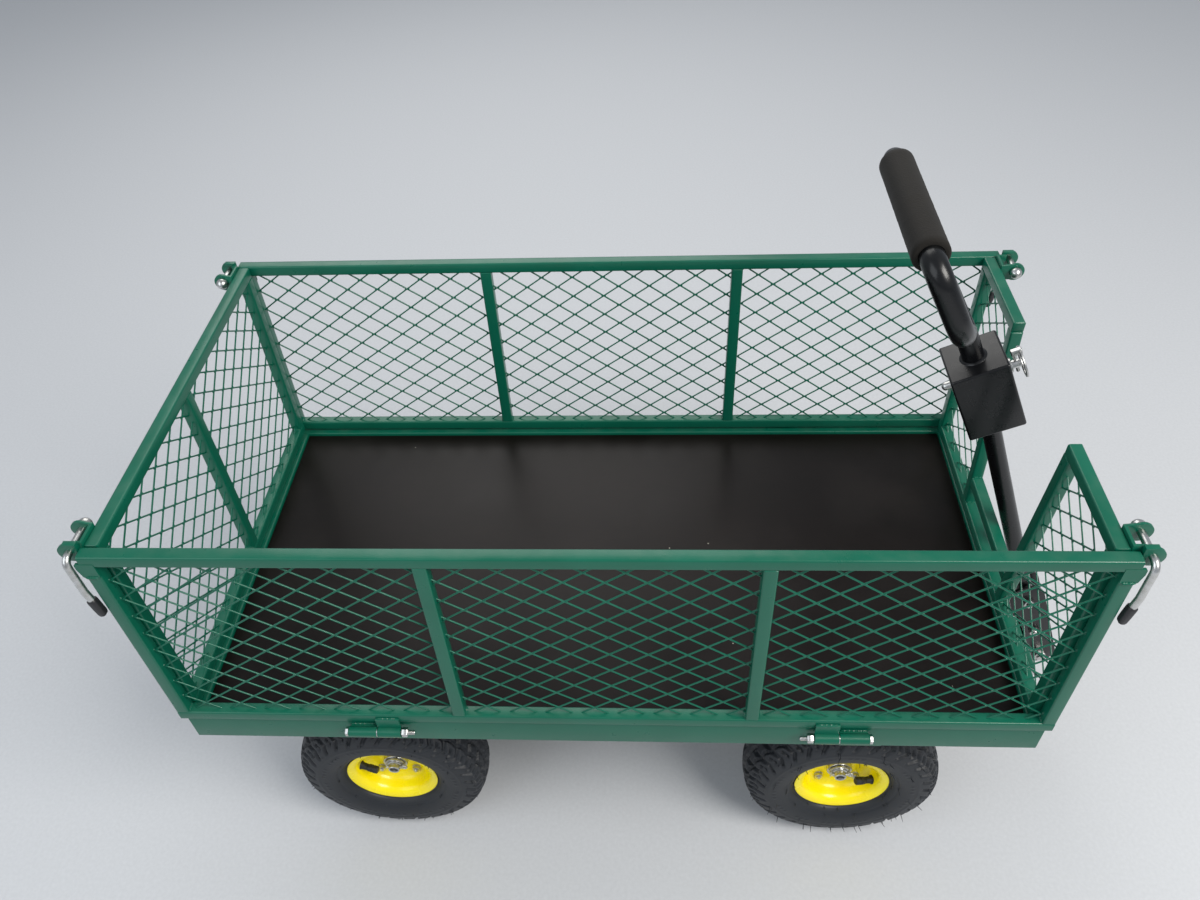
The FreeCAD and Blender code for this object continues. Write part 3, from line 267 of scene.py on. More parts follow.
def filmed_plywood():
    """Phenolic film pressed on plywood: brown black, half gloss, faint wood grain under it, dust specks."""
    material, tree, shader, place = start_finish("phenolic_filmed_plywood", IOR=1.33)
    along = add(tree, "ShaderNodeMapping", {"Vector": place, "Scale": (0.12, 1.0, 1.0)})
    grain = add(tree, "ShaderNodeTexNoise", {"Vector": along.outputs["Vector"], "Scale": per_mm(6),
                                             "Detail": 6.0, "Roughness": 0.7})
    blend = vary_colour(tree, shader, grain.outputs["Fac"], "0A0605", "160E0B")
    speck = add(tree, "ShaderNodeTexVoronoi", {"Vector": place, "Scale": per_mm(26), "Randomness": 1.0})
    dot = add(tree, "ShaderNodeMath", {0: speck.outputs["Distance"], 1: 0.032}, operation="LESS_THAN")
    pick = add(tree, "ShaderNodeSeparateColor", {"Color": speck.outputs["Color"]})
    rare = add(tree, "ShaderNodeMath", {0: pick.outputs[0], 1: 0.8}, operation="GREATER_THAN")
    shown = add(tree, "ShaderNodeMath", {0: dot.outputs[0], 1: rare.outputs[0]}, operation="MULTIPLY")
    cover = add(tree, "ShaderNodeMix", {0: shown.outputs[0], 6: blend.outputs[2], 7: linear("B9B4A6")},
                data_type="RGBA")
    film = add(tree, "ShaderNodeTexNoise", {"Vector": place, "Scale": per_mm(160), "Detail": 6.0})
    haze_limits = {"Value": film.outputs["Fac"], "From Min": 0.45, "From Max": 0.75, "To Max": 0.03}
    haze = add(tree, "ShaderNodeMapRange", haze_limits)
    dusty = add(tree, "ShaderNodeMix", {0: haze.outputs["Result"], 6: cover.outputs[2], 7: linear("8C8580")},
                data_type="RGBA")
    tree.links.new(dusty.outputs[2], shader.inputs["Base Color"])
    vary_roughness(tree, shader, film.outputs["Fac"], 0.3, 0.5)
    raise_surface(tree, shader, grain.outputs["Fac"], 0.08, 0.3)
    return material


def floor_paint():
    """Matt floor paint, pale grey, with a light roller stipple."""
    material, tree, shader, place = start_finish("pale_floor_paint", IOR=1.45)
    stipple = add(tree, "ShaderNodeTexNoise", {"Vector": place, "Scale": per_mm(5), "Detail": 3.0})
    vary_colour(tree, shader, stipple.outputs["Fac"], "BFC1C4", "CDCFD2")
    vary_roughness(tree, shader, stipple.outputs["Fac"], 0.6, 0.8)
    raise_surface(tree, shader, stipple.outputs["Fac"], 0.5, 0.25)
    return material


GREEN = powder_coat("green_powder_coat", "03543F", "0B654F", 0.3, 0.05)
BLACK = powder_coat("black_powder_coat", "040507", "0A0B0E", 0.28, 0.02)
YELLOW = yellow_enamel()
ZINC = zinc_plate()
RUBBER = tyre_rubber()
FOAM = foam_rubber()
VINYL = dipped_vinyl()
TUBE_RUBBER = valve_rubber()
DECK = filmed_plywood()
FINISH_OF_SLOT = {
    "green_powder_coat": GREEN,
    "black_powder_coat": BLACK,
    "yellow_enamel": YELLOW,
    "zinc_plated_steel": ZINC,
    "tyre_rubber": RUBBER,
    "tube_rubber": TUBE_RUBBER,
    "foam": FOAM,
    "black_vinyl": VINYL,
    "filmed_plywood": DECK,
}
SLOT_OF_NODE = {part["node"]: part["material_slot"] for part in frame["record"]["subparts"]}
BODY_OF_NODE = {}
for body_name, members in frame["record"]["behaviour"]["bodies"].items():
    for member in members:
        BODY_OF_NODE[member] = body_name


# ---------------------------------------------------------------- mesh tools


def joint_at(name):
    """Where a hinge's axis is."""
    return Vector(JOINTS[name]["pos_m"])


def middle(node):
    """Centre of a node's box."""
    low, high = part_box(node)
    return (low + high) / 2.0


def cross_frame(direction, hint):
    """Two unit vectors across a direction, the first as near to the hint as it can be."""
    along = direction.normalized()
    first = (hint - along * hint.dot(along)).normalized()
    return first, along.cross(first)


def skin(bm, rings, closed_ends=True):
    """Faces between rings of points, with both ends filled."""
    rows = [[bm.verts.new(point) for point in ring] for ring in rings]
    count = len(rows[0])
    for low, high in zip(rows[:-1], rows[1:]):
        for k in range(count):
            bm.faces.new((low[k], low[(k + 1) % count], high[(k + 1) % count], high[k]))
    if closed_ends:
        bm.faces.new(list(reversed(rows[0])))
        bm.faces.new(rows[-1])


def rounded_outline(half_a, half_b, radius, steps=4):
    """Points of a rectangle with rounded corners, in two dimensions."""
    points = []
    for quarter, (sign_a, sign_b) in enumerate(((1, 1), (-1, 1), (-1, -1), (1, -1))):
        for k in range(steps + 1):
            angle = math.radians(90.0 * quarter + 90.0 * k / steps)
            a = sign_a * (half_a - radius) + radius * math.cos(angle)
            b = sign_b * (half_b - radius) + radius * math.sin(angle)
            points.append((a, b))
    return points


def bar(bm, start, end, wide, deep, hint=Z, corner=TUBE_CORNER):
    """Rectangular tube between two points, with rounded corners and softened ends."""
    first, second = cross_frame(end - start, hint)
    along = (end - start).normalized()
    soft = min(corner, 0.8 * MM)
    rings = []
    for at, shrink in ((start, soft), (start + along * soft, 0.0), (end - along * soft, 0.0), (end, soft)):
        outline = rounded_outline(wide / 2.0 - shrink, deep / 2.0 - shrink, corner)
        rings.append([at + first * a + second * b for a, b in outline])
    skin(bm, rings)


def upright_bar(bm, x, y, z0, z1, wide_x, wide_y):
    """Upright rectangular tube."""
    bar(bm, Vector((x, y, z0)), Vector((x, y, z1)), wide_x, wide_y, X)


def circle(centre, first, second, radius, count):
    """Points of a circle."""
    turn = 2.0 * math.pi / count
    return [centre + first * (radius * math.cos(turn * k)) + second * (radius * math.sin(turn * k))
            for k in range(count)]


def turned(bm, start, direction, profile, count=32):
    """Lathe-turned piece from (distance, radius) points, closed at both ends."""
    along = direction.normalized()
    first, second = cross_frame(along, Z if abs(along.z) < 0.9 else X)
    rings = [circle(start + along * step, first, second, max(radius, 0.01 * MM), count)
             for step, radius in profile]
    skin(bm, rings)


def turned_loop(bm, centre, direction, profile, count=96):
    """Ring-shaped turned piece from a closed outline of (offset, radius) points."""
    along = direction.normalized()
    first, second = cross_frame(along, Z)
    rings = [circle(centre + along * step, first, second, radius, count) for step, radius in profile]
    skin(bm, rings + [rings[0]], closed_ends=False)


def hexagon(bm, start, direction, across_flats, height):
    """Bolt head or nut with its corners chamfered at both faces."""
    along = direction.normalized()
    first, second = cross_frame(along, Z if abs(along.z) < 0.9 else X)
    corner = across_flats / math.sqrt(3.0)
    cut = 0.12 * height
    rings = []
    for step, share in ((0.0, 0.9), (cut, 1.0), (height - cut, 1.0), (height, 0.9)):
        rings.append(circle(start + along * step, first, second, corner * share, 6))
    skin(bm, rings)


def thread(bm, start, end, radius, pitch=1.0 * MM):
    """Threaded stretch of a bolt, as close ridges, with a chamfered tip."""
    along = end - start
    turns = max(2, int(along.length / pitch))
    profile = [(0.0, radius * 0.86)]
    for k in range(turns):
        profile.append(((k + 0.5) * pitch, radius))
        profile.append(((k + 1.0) * pitch, radius * 0.86))
    profile.append((along.length + 0.6 * MM, radius * 0.7))
    turned(bm, start, along, profile, 20)


def bent_path(points, bends, steps=10):
    """Points along straight runs joined by tangent arcs."""
    path = [points[0]]
    for k in range(1, len(points) - 1):
        corner = points[k]
        before = (points[k - 1] - corner).normalized()
        after = (points[k + 1] - corner).normalized()
        half = before.angle(after) / 2.0
        centre = corner + (before + after).normalized() * (bends[k - 1] / math.sin(half))
        setback = bends[k - 1] / math.tan(half)
        from_centre = corner + before * setback - centre
        to_centre = corner + after * setback - centre
        turn = from_centre.angle(to_centre)
        for step in range(steps + 1):
            share = step / steps
            blend = (from_centre * math.sin((1.0 - share) * turn) + to_centre * math.sin(share * turn))
            path.append(centre + blend / math.sin(turn))
    path.append(points[-1])
    return path


def pipe(bm, path, radius, count=24):
    """Round bar along a path; the radius is a number or a function of the share along the path."""
    first, _second = cross_frame(path[1] - path[0], Z if abs((path[1] - path[0]).normalized().z) < 0.9 else X)
    rings = []
    for k, point in enumerate(path):
        ahead = path[min(k + 1, len(path) - 1)]
        behind = path[max(k - 1, 0)]
        first, second = cross_frame(ahead - behind, first)
        size = radius(k / (len(path) - 1)) if callable(radius) else radius
        rings.append(circle(point, first, second, size, count))
    skin(bm, rings)


def weld(bm, start, end, size=1.9 * MM):
    """Rippled weld bead between two points."""
    length = (end - start).length
    steps = max(4, int(length / (1.1 * MM)))
    path = [start.lerp(end, k / steps) for k in range(steps + 1)]
    pipe(bm, path, lambda share: size * (0.55 + 0.45 * abs(math.sin(share * steps * 1.3)))
         * min(1.0, 0.35 + 6.0 * min(share, 1.0 - share)), 8)


def joint_weld(bm, at, across):
    """Weld bead across the face of a panel tube, where another tube meets it."""
    reach = TUBE / 2.0 - 2.0 * MM
    start, end = (Vector([c + way * reach * part for c, part in zip(at, across)]) for way in (-1, 1))
    weld(bm, start, end)


def box_shape(bm, centre, along, across, up, size, radius, steps=3):
    """Solid block with all its edges rounded, set on three axes."""
    made = bmesh.ops.create_cube(bm, size=1.0)
    verts = made["verts"]
    basis = Matrix((along, across, up)).transposed()
    for v in verts:
        v.co = Vector((v.co.x * size[0], v.co.y * size[1], v.co.z * size[2]))
    edges = list(dict.fromkeys(e for v in verts for e in v.link_edges))
    bevelled = bmesh.ops.bevel(bm, geom=edges, offset=radius, segments=steps, profile=0.5, affect="EDGES")
    touched = {v for f in bevelled["faces"] for v in f.verts} | {v for v in verts if v.is_valid}
    for v in touched:
        v.co = centre + basis @ v.co


def finish_piece(bm, name, body, material, replaced, smooth_angle=38.0):
    """Turn a bmesh into a piece that rides on a body and stands for CAD nodes."""
    bmesh.ops.recalc_face_normals(bm, faces=bm.faces)
    data = bpy.data.meshes.new(name)
    bm.to_mesh(data)
    bm.free()
    data.materials.append(material)
    piece = bpy.data.objects.new(name, data)
    bpy.context.scene.collection.objects.link(piece)
    for polygon in data.polygons:
        polygon.use_smooth = True
    data.set_sharp_from_angle(angle=math.radians(smooth_angle))
    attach(piece, body)
    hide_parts(*replaced)
    return piece


def eased(node, name, width=0.5 * MM):
    """A CAD node's own shape with its edges eased, as paint or plating leaves them."""
    bm = bmesh.new()
    bm.from_mesh(frame["nodes"][node].data)
    bmesh.ops.remove_doubles(bm, verts=bm.verts, dist=0.002 * MM)
    bmesh.ops.dissolve_limit(bm, angle_limit=math.radians(1.0), verts=bm.verts, edges=bm.edges)
    sharp = [e for e in bm.edges if len(e.link_faces) == 2 and e.calc_face_angle() > math.radians(40)
             and e.calc_length() > 2.5 * width]
    bmesh.ops.bevel(bm, geom=sharp, offset=width, segments=2, profile=0.5, affect="EDGES",
                    clamp_overlap=True)
    finish_piece(bm, name, BODY_OF_NODE[node], FINISH_OF_SLOT[SLOT_OF_NODE[node]], (node,))


# ---------------------------------------------------------------- diamond mesh


def clip_run(start, end, outline):
    """The part of a straight run inside a convex outline, or None; all points are 2-D."""
    low, high = 0.0, 1.0
    du, dv = end[0] - start[0], end[1] - start[1]
    for k, (u0, v0) in enumerate(outline):
        u1, v1 = outline[(k + 1) % len(outline)]
        inward = (-(v1 - v0), u1 - u0)
        gap = (start[0] - u0) * inward[0] + (start[1] - v0) * inward[1]
        rate = du * inward[0] + dv * inward[1]
        if abs(rate) < 1e-12:
            if gap < 0.0:
                return None
            continue
        share = -gap / rate
        if rate > 0.0:
            low = max(low, share)
        else:
            high = min(high, share)
    if high - low < 0.02:
        return None
    return ((start[0] + low * du, start[1] + low * dv), (start[0] + high * du, start[1] + high * dv))


def strand(bm, start, end, facing, lean):
    """One strand of expanded sheet: a flat bar, tipped about its own length."""
    along = (end - start).normalized()
    flat = along.cross(facing).normalized()
    tip = math.radians(lean)
    wide = (flat * math.cos(tip) + facing * math.sin(tip)) * (STRAND_WIDTH / 2.0)
    deep = (facing * math.cos(tip) - flat * math.sin(tip)) * (STRAND_DEPTH / 2.0)
    outline = [(1.0, 0.45), (0.62, 1.0), (-0.62, 1.0), (-1.0, 0.45),
               (-1.0, -0.45), (-0.62, -1.0), (0.62, -1.0), (1.0, -0.45)]
    rings = [[at + wide * a + deep * b for a, b in outline] for at in (start, end)]
    skin(bm, rings)


def expanded_sheet(bm, outline, to_space, facing, phase=(0.0, 0.0)):
    """Strands and knuckles of expanded sheet inside a convex, counter-clockwise outline."""
    half_long, half_tall = PITCH_LONG / 2.0, PITCH_TALL / 2.0
    columns = [u for u, _v in outline]
    rows = [v for _u, v in outline]
    first_row, past_row = math.floor(min(rows) / half_tall) - 1, math.ceil(max(rows) / half_tall) + 2
    first_column = math.floor(min(columns) / half_long) - 1
    past_column = math.ceil(max(columns) / half_long) + 2
    for row in range(first_row, past_row):
        for column in range(first_column, past_column):
            if (row + column) % 2 == 0:
                continue
            u = column * half_long + phase[0]
            v = row * half_tall + phase[1]
            for rise in (-1, 1):
                run = clip_run((u, v), (u + half_long, v + rise * half_tall), outline)
                if run:
                    strand(bm, to_space(*run[0]), to_space(*run[1]), facing, STRAND_LEAN * rise)
            knuckle = clip_run((u - KNUCKLE_HALF, v), (u + KNUCKLE_HALF, v), outline)
            if knuckle:
                strand(bm, to_space(*knuckle[0]), to_space(*knuckle[1]), facing, 0.0)


# ---------------------------------------------------------------- panels


def side_posts(low, high):
    """Centre of each upright of a side panel, from the extent of its mesh."""
    length = high - low + 2.0 * TUBE
    centre = (low + high) / 2.0
    return [low - TUBE / 2.0, centre - length / 6.0, centre + length / 6.0, high + TUBE / 2.0]


def side_panel(side_name, side):
    """Tube frame and expanded sheet of one long side."""
    low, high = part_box(side_name + "_panel_mesh")
    y = (low.y + high.y) / 2.0
    posts = side_posts(low.x, high.x)
    bottom, top = low.z - TUBE, high.z + TUBE
    bm = bmesh.new()
    ends = (posts[0] - TUBE / 2.0, posts[-1] + TUBE / 2.0)
    for z in (bottom + TUBE / 2.0, top - TUBE / 2.0):
        bar(bm, Vector((ends[0], y, z)), Vector((ends[1], y, z)), TUBE, TUBE)
    for k, x in enumerate(posts):
        outer_post = k in (0, len(posts) - 1)
        upright_bar(bm, x, y, low.z - 0.3 * MM, high.z + 0.3 * MM, TUBE, TUBE)
        for z in (low.z, high.z):
            for way in (-1, 1):
                edge = x + way * TUBE / 2.0
                if outer_post and way == (-1 if k == 0 else 1):
                    continue
                joint_weld(bm, (edge, y, z), Y)
    knuckles_and_tabs(bm, side_name + "_panel_frame", "side", side)
    finish_piece(bm, side_name + "_side_tubes", side_name + "_side", GREEN, (side_name + "_panel_frame",))
    bm = bmesh.new()
    for left, right in zip(posts[:-1], posts[1:]):
        u0, u1 = left + TUBE / 2.0 - MESH_TUCK, right - TUBE / 2.0 + MESH_TUCK
        v0, v1 = low.z - MESH_TUCK, high.z + MESH_TUCK
        expanded_sheet(bm, [(u0, v0), (u1, v0), (u1, v1), (u0, v1)],
                       lambda u, v: Vector((u, y, v)), Y, (-2.5 * MM, 4.0 * MM))
    finish_piece(bm, side_name + "_side_expanded_sheet", side_name + "_side", GREEN,
                 (side_name + "_panel_mesh",))


def tube_ring(bm, start, end, outer, inner, count=28):
    """Hinge barrel with its edges eased."""
    along = (end - start).normalized()
    length = (end - start).length
    soft = 0.6 * MM
    profile = [(0.0, inner), (0.0, outer - soft), (soft, outer), (length - soft, outer),
               (length, outer - soft), (length, inner)]
    turned_loop(bm, start, along, profile, count)


def bent_strap(bm, points, along, width, thick):
    """Flat strap bent along an outline, with its width along one axis."""
    for first, second in zip(points[:-1], points[1:]):
        reach = (second - first).normalized() * (thick / 2.0)
        bar(bm, first - reach, second + reach, thick, width, (second - first).cross(along), 0.5 * MM)


def knuckles_and_tabs(bm, node, kind, side):
    """Hinge barrels, their straps and the corner catch plates of a panel."""
    if kind == "side":
        axis = joint_at(("right" if side < 0 else "left") + "_side_fold")
        along, out = X, Y * side
        starts, face_gap = SIDE_HINGE, 5.0 * MM
    else:
        axis = joint_at("rear_side_fold" if side < 0 else "front_gate_fold")
        along, out = Y, X * side
        starts, face_gap = END_HINGE, (6.0 if side < 0 else 11.0) * MM
    middle_along = frame_middle.dot(along)
    for way in (-1, 1):
        a = axis + along * (middle_along - axis.dot(along) + way * starts[0])
        b = a + along * (way * PANEL_BARREL)
        tube_ring(bm, a, b, BARREL_RADIUS, BARREL_BORE)
        centre = (a + b) / 2.0
        if kind == "side":
            inside = centre - out * 3.5 * MM
            strap = [inside + Z * 4.0 * MM, inside + Z * 22.0 * MM]
        else:
            inside = centre - out * 4.5 * MM
            strap = [inside + Z * 3.0 * MM, inside + Z * 21.5 * MM,
                     centre - out * (face_gap + 1.0 * MM) + Z * 21.5 * MM]
        bent_strap(bm, strap, along, PANEL_BARREL, 3.0 * MM)
        lip = centre - out * (face_gap - 0.8 * MM) + Z * 22.5 * MM
        weld(bm, lip - along * 12.0 * MM, lip + along * 12.0 * MM, 1.7 * MM)
    if kind == "side":
        corner_plates(bm, node, side)


def corner_plates(bm, node, side):
    """Catch plates that stand out past the end posts, tapered towards their foot."""
    low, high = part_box(node)
    mesh_low, mesh_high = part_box(node.replace("frame", "mesh"))
    face = (mesh_low.y + mesh_high.y) / 2.0 + side * TUBE / 2.0
    top = mesh_high.z + 5.0 * MM
    for end, post, tip in ((-1, mesh_low.x - TUBE, low.x), (1, mesh_high.x + TUBE, high.x)):
        root = post - end * TUBE
        outline = [(root, top), (tip - end * 1.2 * MM, top), (tip, top - 1.2 * MM), (tip, top - 8.0 * MM),
                   (post + end * 2.2 * MM, top - 19.0 * MM), (post + end * 1.0 * MM, top - 20.0 * MM),
                   (root, top - 20.0 * MM)]
        rings = []
        for depth in (0.0, -side * 3.0 * MM):
            rings.append([Vector((x, face + side * 0.4 * MM + depth, z)) for x, z in outline])
        skin(bm, rings)
        weld(bm, Vector((root + end * 2.0 * MM, face + side * 0.6 * MM, mesh_high.z - 15.0 * MM)),
             Vector((post, face + side * 0.6 * MM, mesh_high.z - 15.0 * MM)), 1.6 * MM)


def rear_panel():
    """Tube frame and expanded sheet of the rear end."""
    low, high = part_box("rear_panel_mesh")
    x = (low.x + high.x) / 2.0
    bm = bmesh.new()
    ends = (low.y - TUBE, high.y + TUBE)
    for z in (low.z - TUBE / 2.0, high.z + TUBE / 2.0):
        bar(bm, Vector((x, ends[0], z)), Vector((x, ends[1], z)), TUBE, TUBE)
    for y in (low.y - TUBE / 2.0, 0.0, high.y + TUBE / 2.0):
        upright_bar(bm, x, y, low.z - 0.3 * MM, high.z + 0.3 * MM, TUBE, TUBE)
        for z in (low.z, high.z):
            for way in (-1, 1):
                edge = y + way * TUBE / 2.0
                if abs(edge) > high.y + TUBE / 2.0:
                    continue
                joint_weld(bm, (x, edge, z), X)
    knuckles_and_tabs(bm, "rear_panel_frame", "end", -1)
    finish_piece(bm, "rear_tubes", "rear_side", GREEN, ("rear_panel_frame",))
    bm = bmesh.new()
    for y0, y1 in ((low.y, -TUBE / 2.0), (TUBE / 2.0, high.y)):
        u0, u1 = y0 - MESH_TUCK, y1 + MESH_TUCK
        v0, v1 = low.z - MESH_TUCK, high.z + MESH_TUCK
        expanded_sheet(bm, [(u0, v0), (u1, v0), (u1, v1), (u0, v1)], lambda u, v: Vector((x, u, v)), X)
    finish_piece(bm, "rear_expanded_sheet", "rear_side", GREEN, ("rear_panel_mesh",))


def notch_edge(z):
    """Half width of the gate's notch at a height."""
    return NOTCH_HALF + (z - NOTCH_FLOOR) * NOTCH_SLOPE


def front_gate():
    """Tube frame with its notch, and the expanded sheet in both wings."""
    low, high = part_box("front_gate_mesh")
    x = (low.x + high.x) / 2.0
    bottom, top = low.z - TUBE, high.z + TUBE
    leg = TUBE * math.hypot(1.0, NOTCH_SLOPE)
    bm = bmesh.new()
    foot_z = bottom + TUBE / 2.0
    bar(bm, Vector((x, low.y - TUBE, foot_z)), Vector((x, high.y + TUBE, foot_z)), TUBE, TUBE)
    floor_z = NOTCH_FLOOR - TUBE / 2.0
    floor_half = notch_edge(floor_z) + 1.0 * MM
    bar(bm, Vector((x, -floor_half, floor_z)), Vector((x, floor_half, floor_z)), TUBE, TUBE)
    for side in (-1, 1):
        post_y = side * (high.y + TUBE / 2.0)
        upright_bar(bm, x, post_y, low.z - 0.3 * MM, high.z + 0.3 * MM, TUBE, TUBE)
        peak = notch_edge(top) + leg / 2.0
        bar(bm, Vector((x, side * (peak - leg / 2.0 + 0.5 * MM), top - TUBE / 2.0)),
            Vector((x, side * (high.y + TUBE), top - TUBE / 2.0)), TUBE, TUBE)
        foot = notch_edge(low.z) + leg / 2.0
        bar(bm, Vector((x, side * foot, low.z - 0.5 * MM)),
            Vector((x, side * (notch_edge(high.z) + leg / 2.0), high.z + 0.5 * MM)), TUBE, TUBE, Y)
        for z, half in ((low.z, foot - leg / 2.0), (low.z, foot + leg / 2.0),
                        (high.z, notch_edge(high.z) + leg), (high.z, high.y), (low.z, high.y)):
            joint_weld(bm, (x, side * half, z), X)
        for z in (NOTCH_FLOOR, NOTCH_FLOOR - TUBE):
            joint_weld(bm, (x, side * notch_edge(z), z), X)
    knuckles_and_tabs(bm, "front_gate_frame", "end", 1)
    finish_piece(bm, "front_gate_tubes", "front_gate", GREEN, ("front_gate_frame",))
    bm = bmesh.new()
    far = high.y + MESH_TUCK
    near_low = notch_edge(low.z) + leg - MESH_TUCK
    near_high = notch_edge(high.z) + leg - MESH_TUCK
    v0, v1 = low.z - MESH_TUCK, high.z + MESH_TUCK
    left = [(near_low, v0), (far, v0), (far, v1), (near_high, v1)]
    right = [(-far, v0), (-near_low, v0), (-near_high, v1), (-far, v1)]
    for outline in (left, right):
        expanded_sheet(bm, outline, lambda u, v: Vector((x, u, v)), X)
    finish_piece(bm, "front_gate_expanded_sheet", "front_gate", GREEN, ("front_gate_mesh",))


# ---------------------------------------------------------------- deck and frame


def deck():
    """Board with eased edges, let into a welded rectangle of upright tube on bearers."""
    low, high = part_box("deck_board")
    bm = bmesh.new()
    box_shape(bm, (low + high) / 2.0, X, Y, Z, high - low, 0.9 * MM)
    finish_piece(bm, "deck_sheet", "chassis", DECK, ("deck_board",))
    bm = bmesh.new()
    tall = frame_high.z - frame_low.z
    z = frame_middle.z
    for side in (-1, 1):
        y = side * (frame_high.y - FRAME_WALL / 2.0)
        bar(bm, Vector((frame_low.x, y, z)), Vector((frame_high.x, y, z)), tall, FRAME_WALL)
        x = frame_middle.x + side * (frame_high.x - frame_middle.x - FRAME_WALL / 2.0)
        inner = frame_high.y - FRAME_WALL
        bar(bm, Vector((x, -inner - 0.4 * MM, z)), Vector((x, inner + 0.4 * MM, z)), tall, FRAME_WALL)
        for way in (-1, 1):
            edge = x + way * FRAME_WALL / 2.0
            weld(bm, Vector((edge, side * inner, frame_low.z + 3 * MM)),
                 Vector((edge, side * inner, frame_high.z - 3 * MM)), 2.2 * MM)
    finish_piece(bm, "deck_rim", "chassis", GREEN, ("deck_frame",))
    low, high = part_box("deck_cross_members")
    bm = bmesh.new()
    at = (low.z + high.z) / 2.0
    for x in (low.x + BEARER_WIDTH / 2.0, frame_middle.x, high.x - BEARER_WIDTH / 2.0):
        bar(bm, Vector((x, low.y + 0.2 * MM, at)), Vector((x, high.y - 0.2 * MM, at)),
            high.z - low.z - 0.4 * MM, BEARER_WIDTH)
        for side in (-1, 1):
            for way in (-1, 1):
                edge = x + way * BEARER_WIDTH / 2.0
                weld(bm, Vector((edge, side * high.y, low.z + 3 * MM)),
                     Vector((edge, side * high.y, high.z - 3 * MM)))
    finish_piece(bm, "deck_bearers", "chassis", GREEN, ("deck_cross_members",))


def hinge_lines():
    """Each hinge as its axis point in the middle of the cart, its axis, and the way it runs."""
    lines = []
    for name, along, starts in (("right_side_fold", X, SIDE_HINGE), ("left_side_fold", X, SIDE_HINGE),
                                ("rear_side_fold", Y, END_HINGE), ("front_gate_fold", Y, END_HINGE)):
        axis = joint_at(name)
        centre = axis + along * (frame_middle.dot(along) - axis.dot(along))
        out = axis - frame_middle
        out = (out - Z * out.z - along * out.dot(along)).normalized()
        for way in (-1, 1):
            lines.append((centre, along * way, starts, out))
    return lines


def hinges():
    """Frame halves of the hinges, and their bolts with washer, nut and threaded end."""
    barrels = bmesh.new()
    bolts = bmesh.new()
    for centre, along, starts, out in hinge_lines():
        a = centre + along * starts[1]
        b = a + along * FRAME_BARREL
        tube_ring(barrels, a, b, BARREL_RADIUS, BARREL_BORE)
        foot = (a + b) / 2.0 - out * 7.0 * MM
        bar(barrels, foot - along * 16.5 * MM, foot + along * 16.5 * MM, 5.6 * MM, 5.0 * MM, Z, 1.0 * MM)
        for lift in (-1, 1):
            seam = (a + b) / 2.0 - out * 8.4 * MM + Z * (lift * 3.4 * MM)
            weld(barrels, seam - along * 15 * MM, seam + along * 15 * MM, 1.7 * MM)
        gap = centre + along * (starts[0] + PANEL_BARREL + 0.05 * MM)
        turned(bolts, gap, along, [(0.0, 5.8 * MM), (0.9 * MM, 5.8 * MM)], 24)
        head = b + along * 0.1 * MM
        hexagon(bolts, head, along, HINGE_HEX, 4 * MM)
        nut = centre + along * (starts[0] - 1.0 * MM)
        hexagon(bolts, nut, -along, HINGE_HEX, 7 * MM)
        turned(bolts, nut, b - nut, [(0.0, HINGE_BOLT), ((b - nut).length, HINGE_BOLT)], 20)
        thread(bolts, nut - along * 6.8 * MM, nut - along * 15 * MM, 3.0 * MM)
    finish_piece(barrels, "frame_hinge_barrels", "chassis", GREEN, ("frame_hinge_knuckles",))
    finish_piece(bolts, "hinge_bolts_and_nuts", "chassis", ZINC, ("panel_hinge_bolts",))


# ---------------------------------------------------------------- latches


def latch(end_name, end, side_name, side):
    """Bent rod with its domed stop nut, and the soft grip on its tail."""
    corner = end_name + "_" + side_name
    axis = joint_at(corner + "_latch_turn")
    low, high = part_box(corner + "_latch_lever")
    lever_y = middle(corner + "_latch_grip").y
    inner_y = side * min(abs(low.y), abs(high.y))
    knee = Vector((axis.x, lever_y, axis.z - LATCH_DROP))
    tail = knee - (X * (end * math.sin(LATCH_LEAN)) + Z * math.cos(LATCH_LEAN)) * LATCH_TAIL
    start = Vector((axis.x, inner_y + side * 7.0 * MM, axis.z))
    turn = Vector((axis.x, lever_y, axis.z))
    bm = bmesh.new()
    pipe(bm, bent_path([start, turn, knee, knee.lerp(tail, 0.9)], [9 * MM, 26 * MM], 12), LATCH_ROD)
    turned(bm, Vector((axis.x, inner_y + side * 11.3 * MM, axis.z)), -Y * side,
           [(0.0, 7.2 * MM), (0.5 * MM, 7.5 * MM), (4.5 * MM, 7.4 * MM), (6.5 * MM, 6.6 * MM),
            (8.6 * MM, 4.9 * MM), (10.2 * MM, 2.6 * MM), (10.8 * MM, 0.4 * MM)], 28)
    finish_piece(bm, corner + "_latch_rod", corner + "_latch", ZINC, (corner + "_latch_lever",))
    bm = bmesh.new()
    down = (tail - knee).normalized()
    out = down.cross(Y).normalized()
    if out.x * end < 0.0:
        out = -out
    rings = []
    for share, wide, deep in ((0.0, 4.4, 4.3), (0.02, 4.8, 4.7), (0.1, 5.0, 4.9), (0.5, 4.8, 5.0),
                              (0.85, 4.3, 4.9), (0.96, 3.6, 4.3), (1.0, 2.3, 2.8)):
        at = tail - down * (LATCH_SLEEVE * (1.0 - share))
        outline = rounded_outline(wide * MM, deep * MM, min(wide, deep) * 0.75 * MM, 5)
        rings.append([at + out * a + Y * b for a, b in outline])
    skin(bm, rings)
    finish_piece(bm, corner + "_latch_sleeve", corner + "_latch", VINYL, (corner + "_latch_grip",))


# ---------------------------------------------------------------- wheels


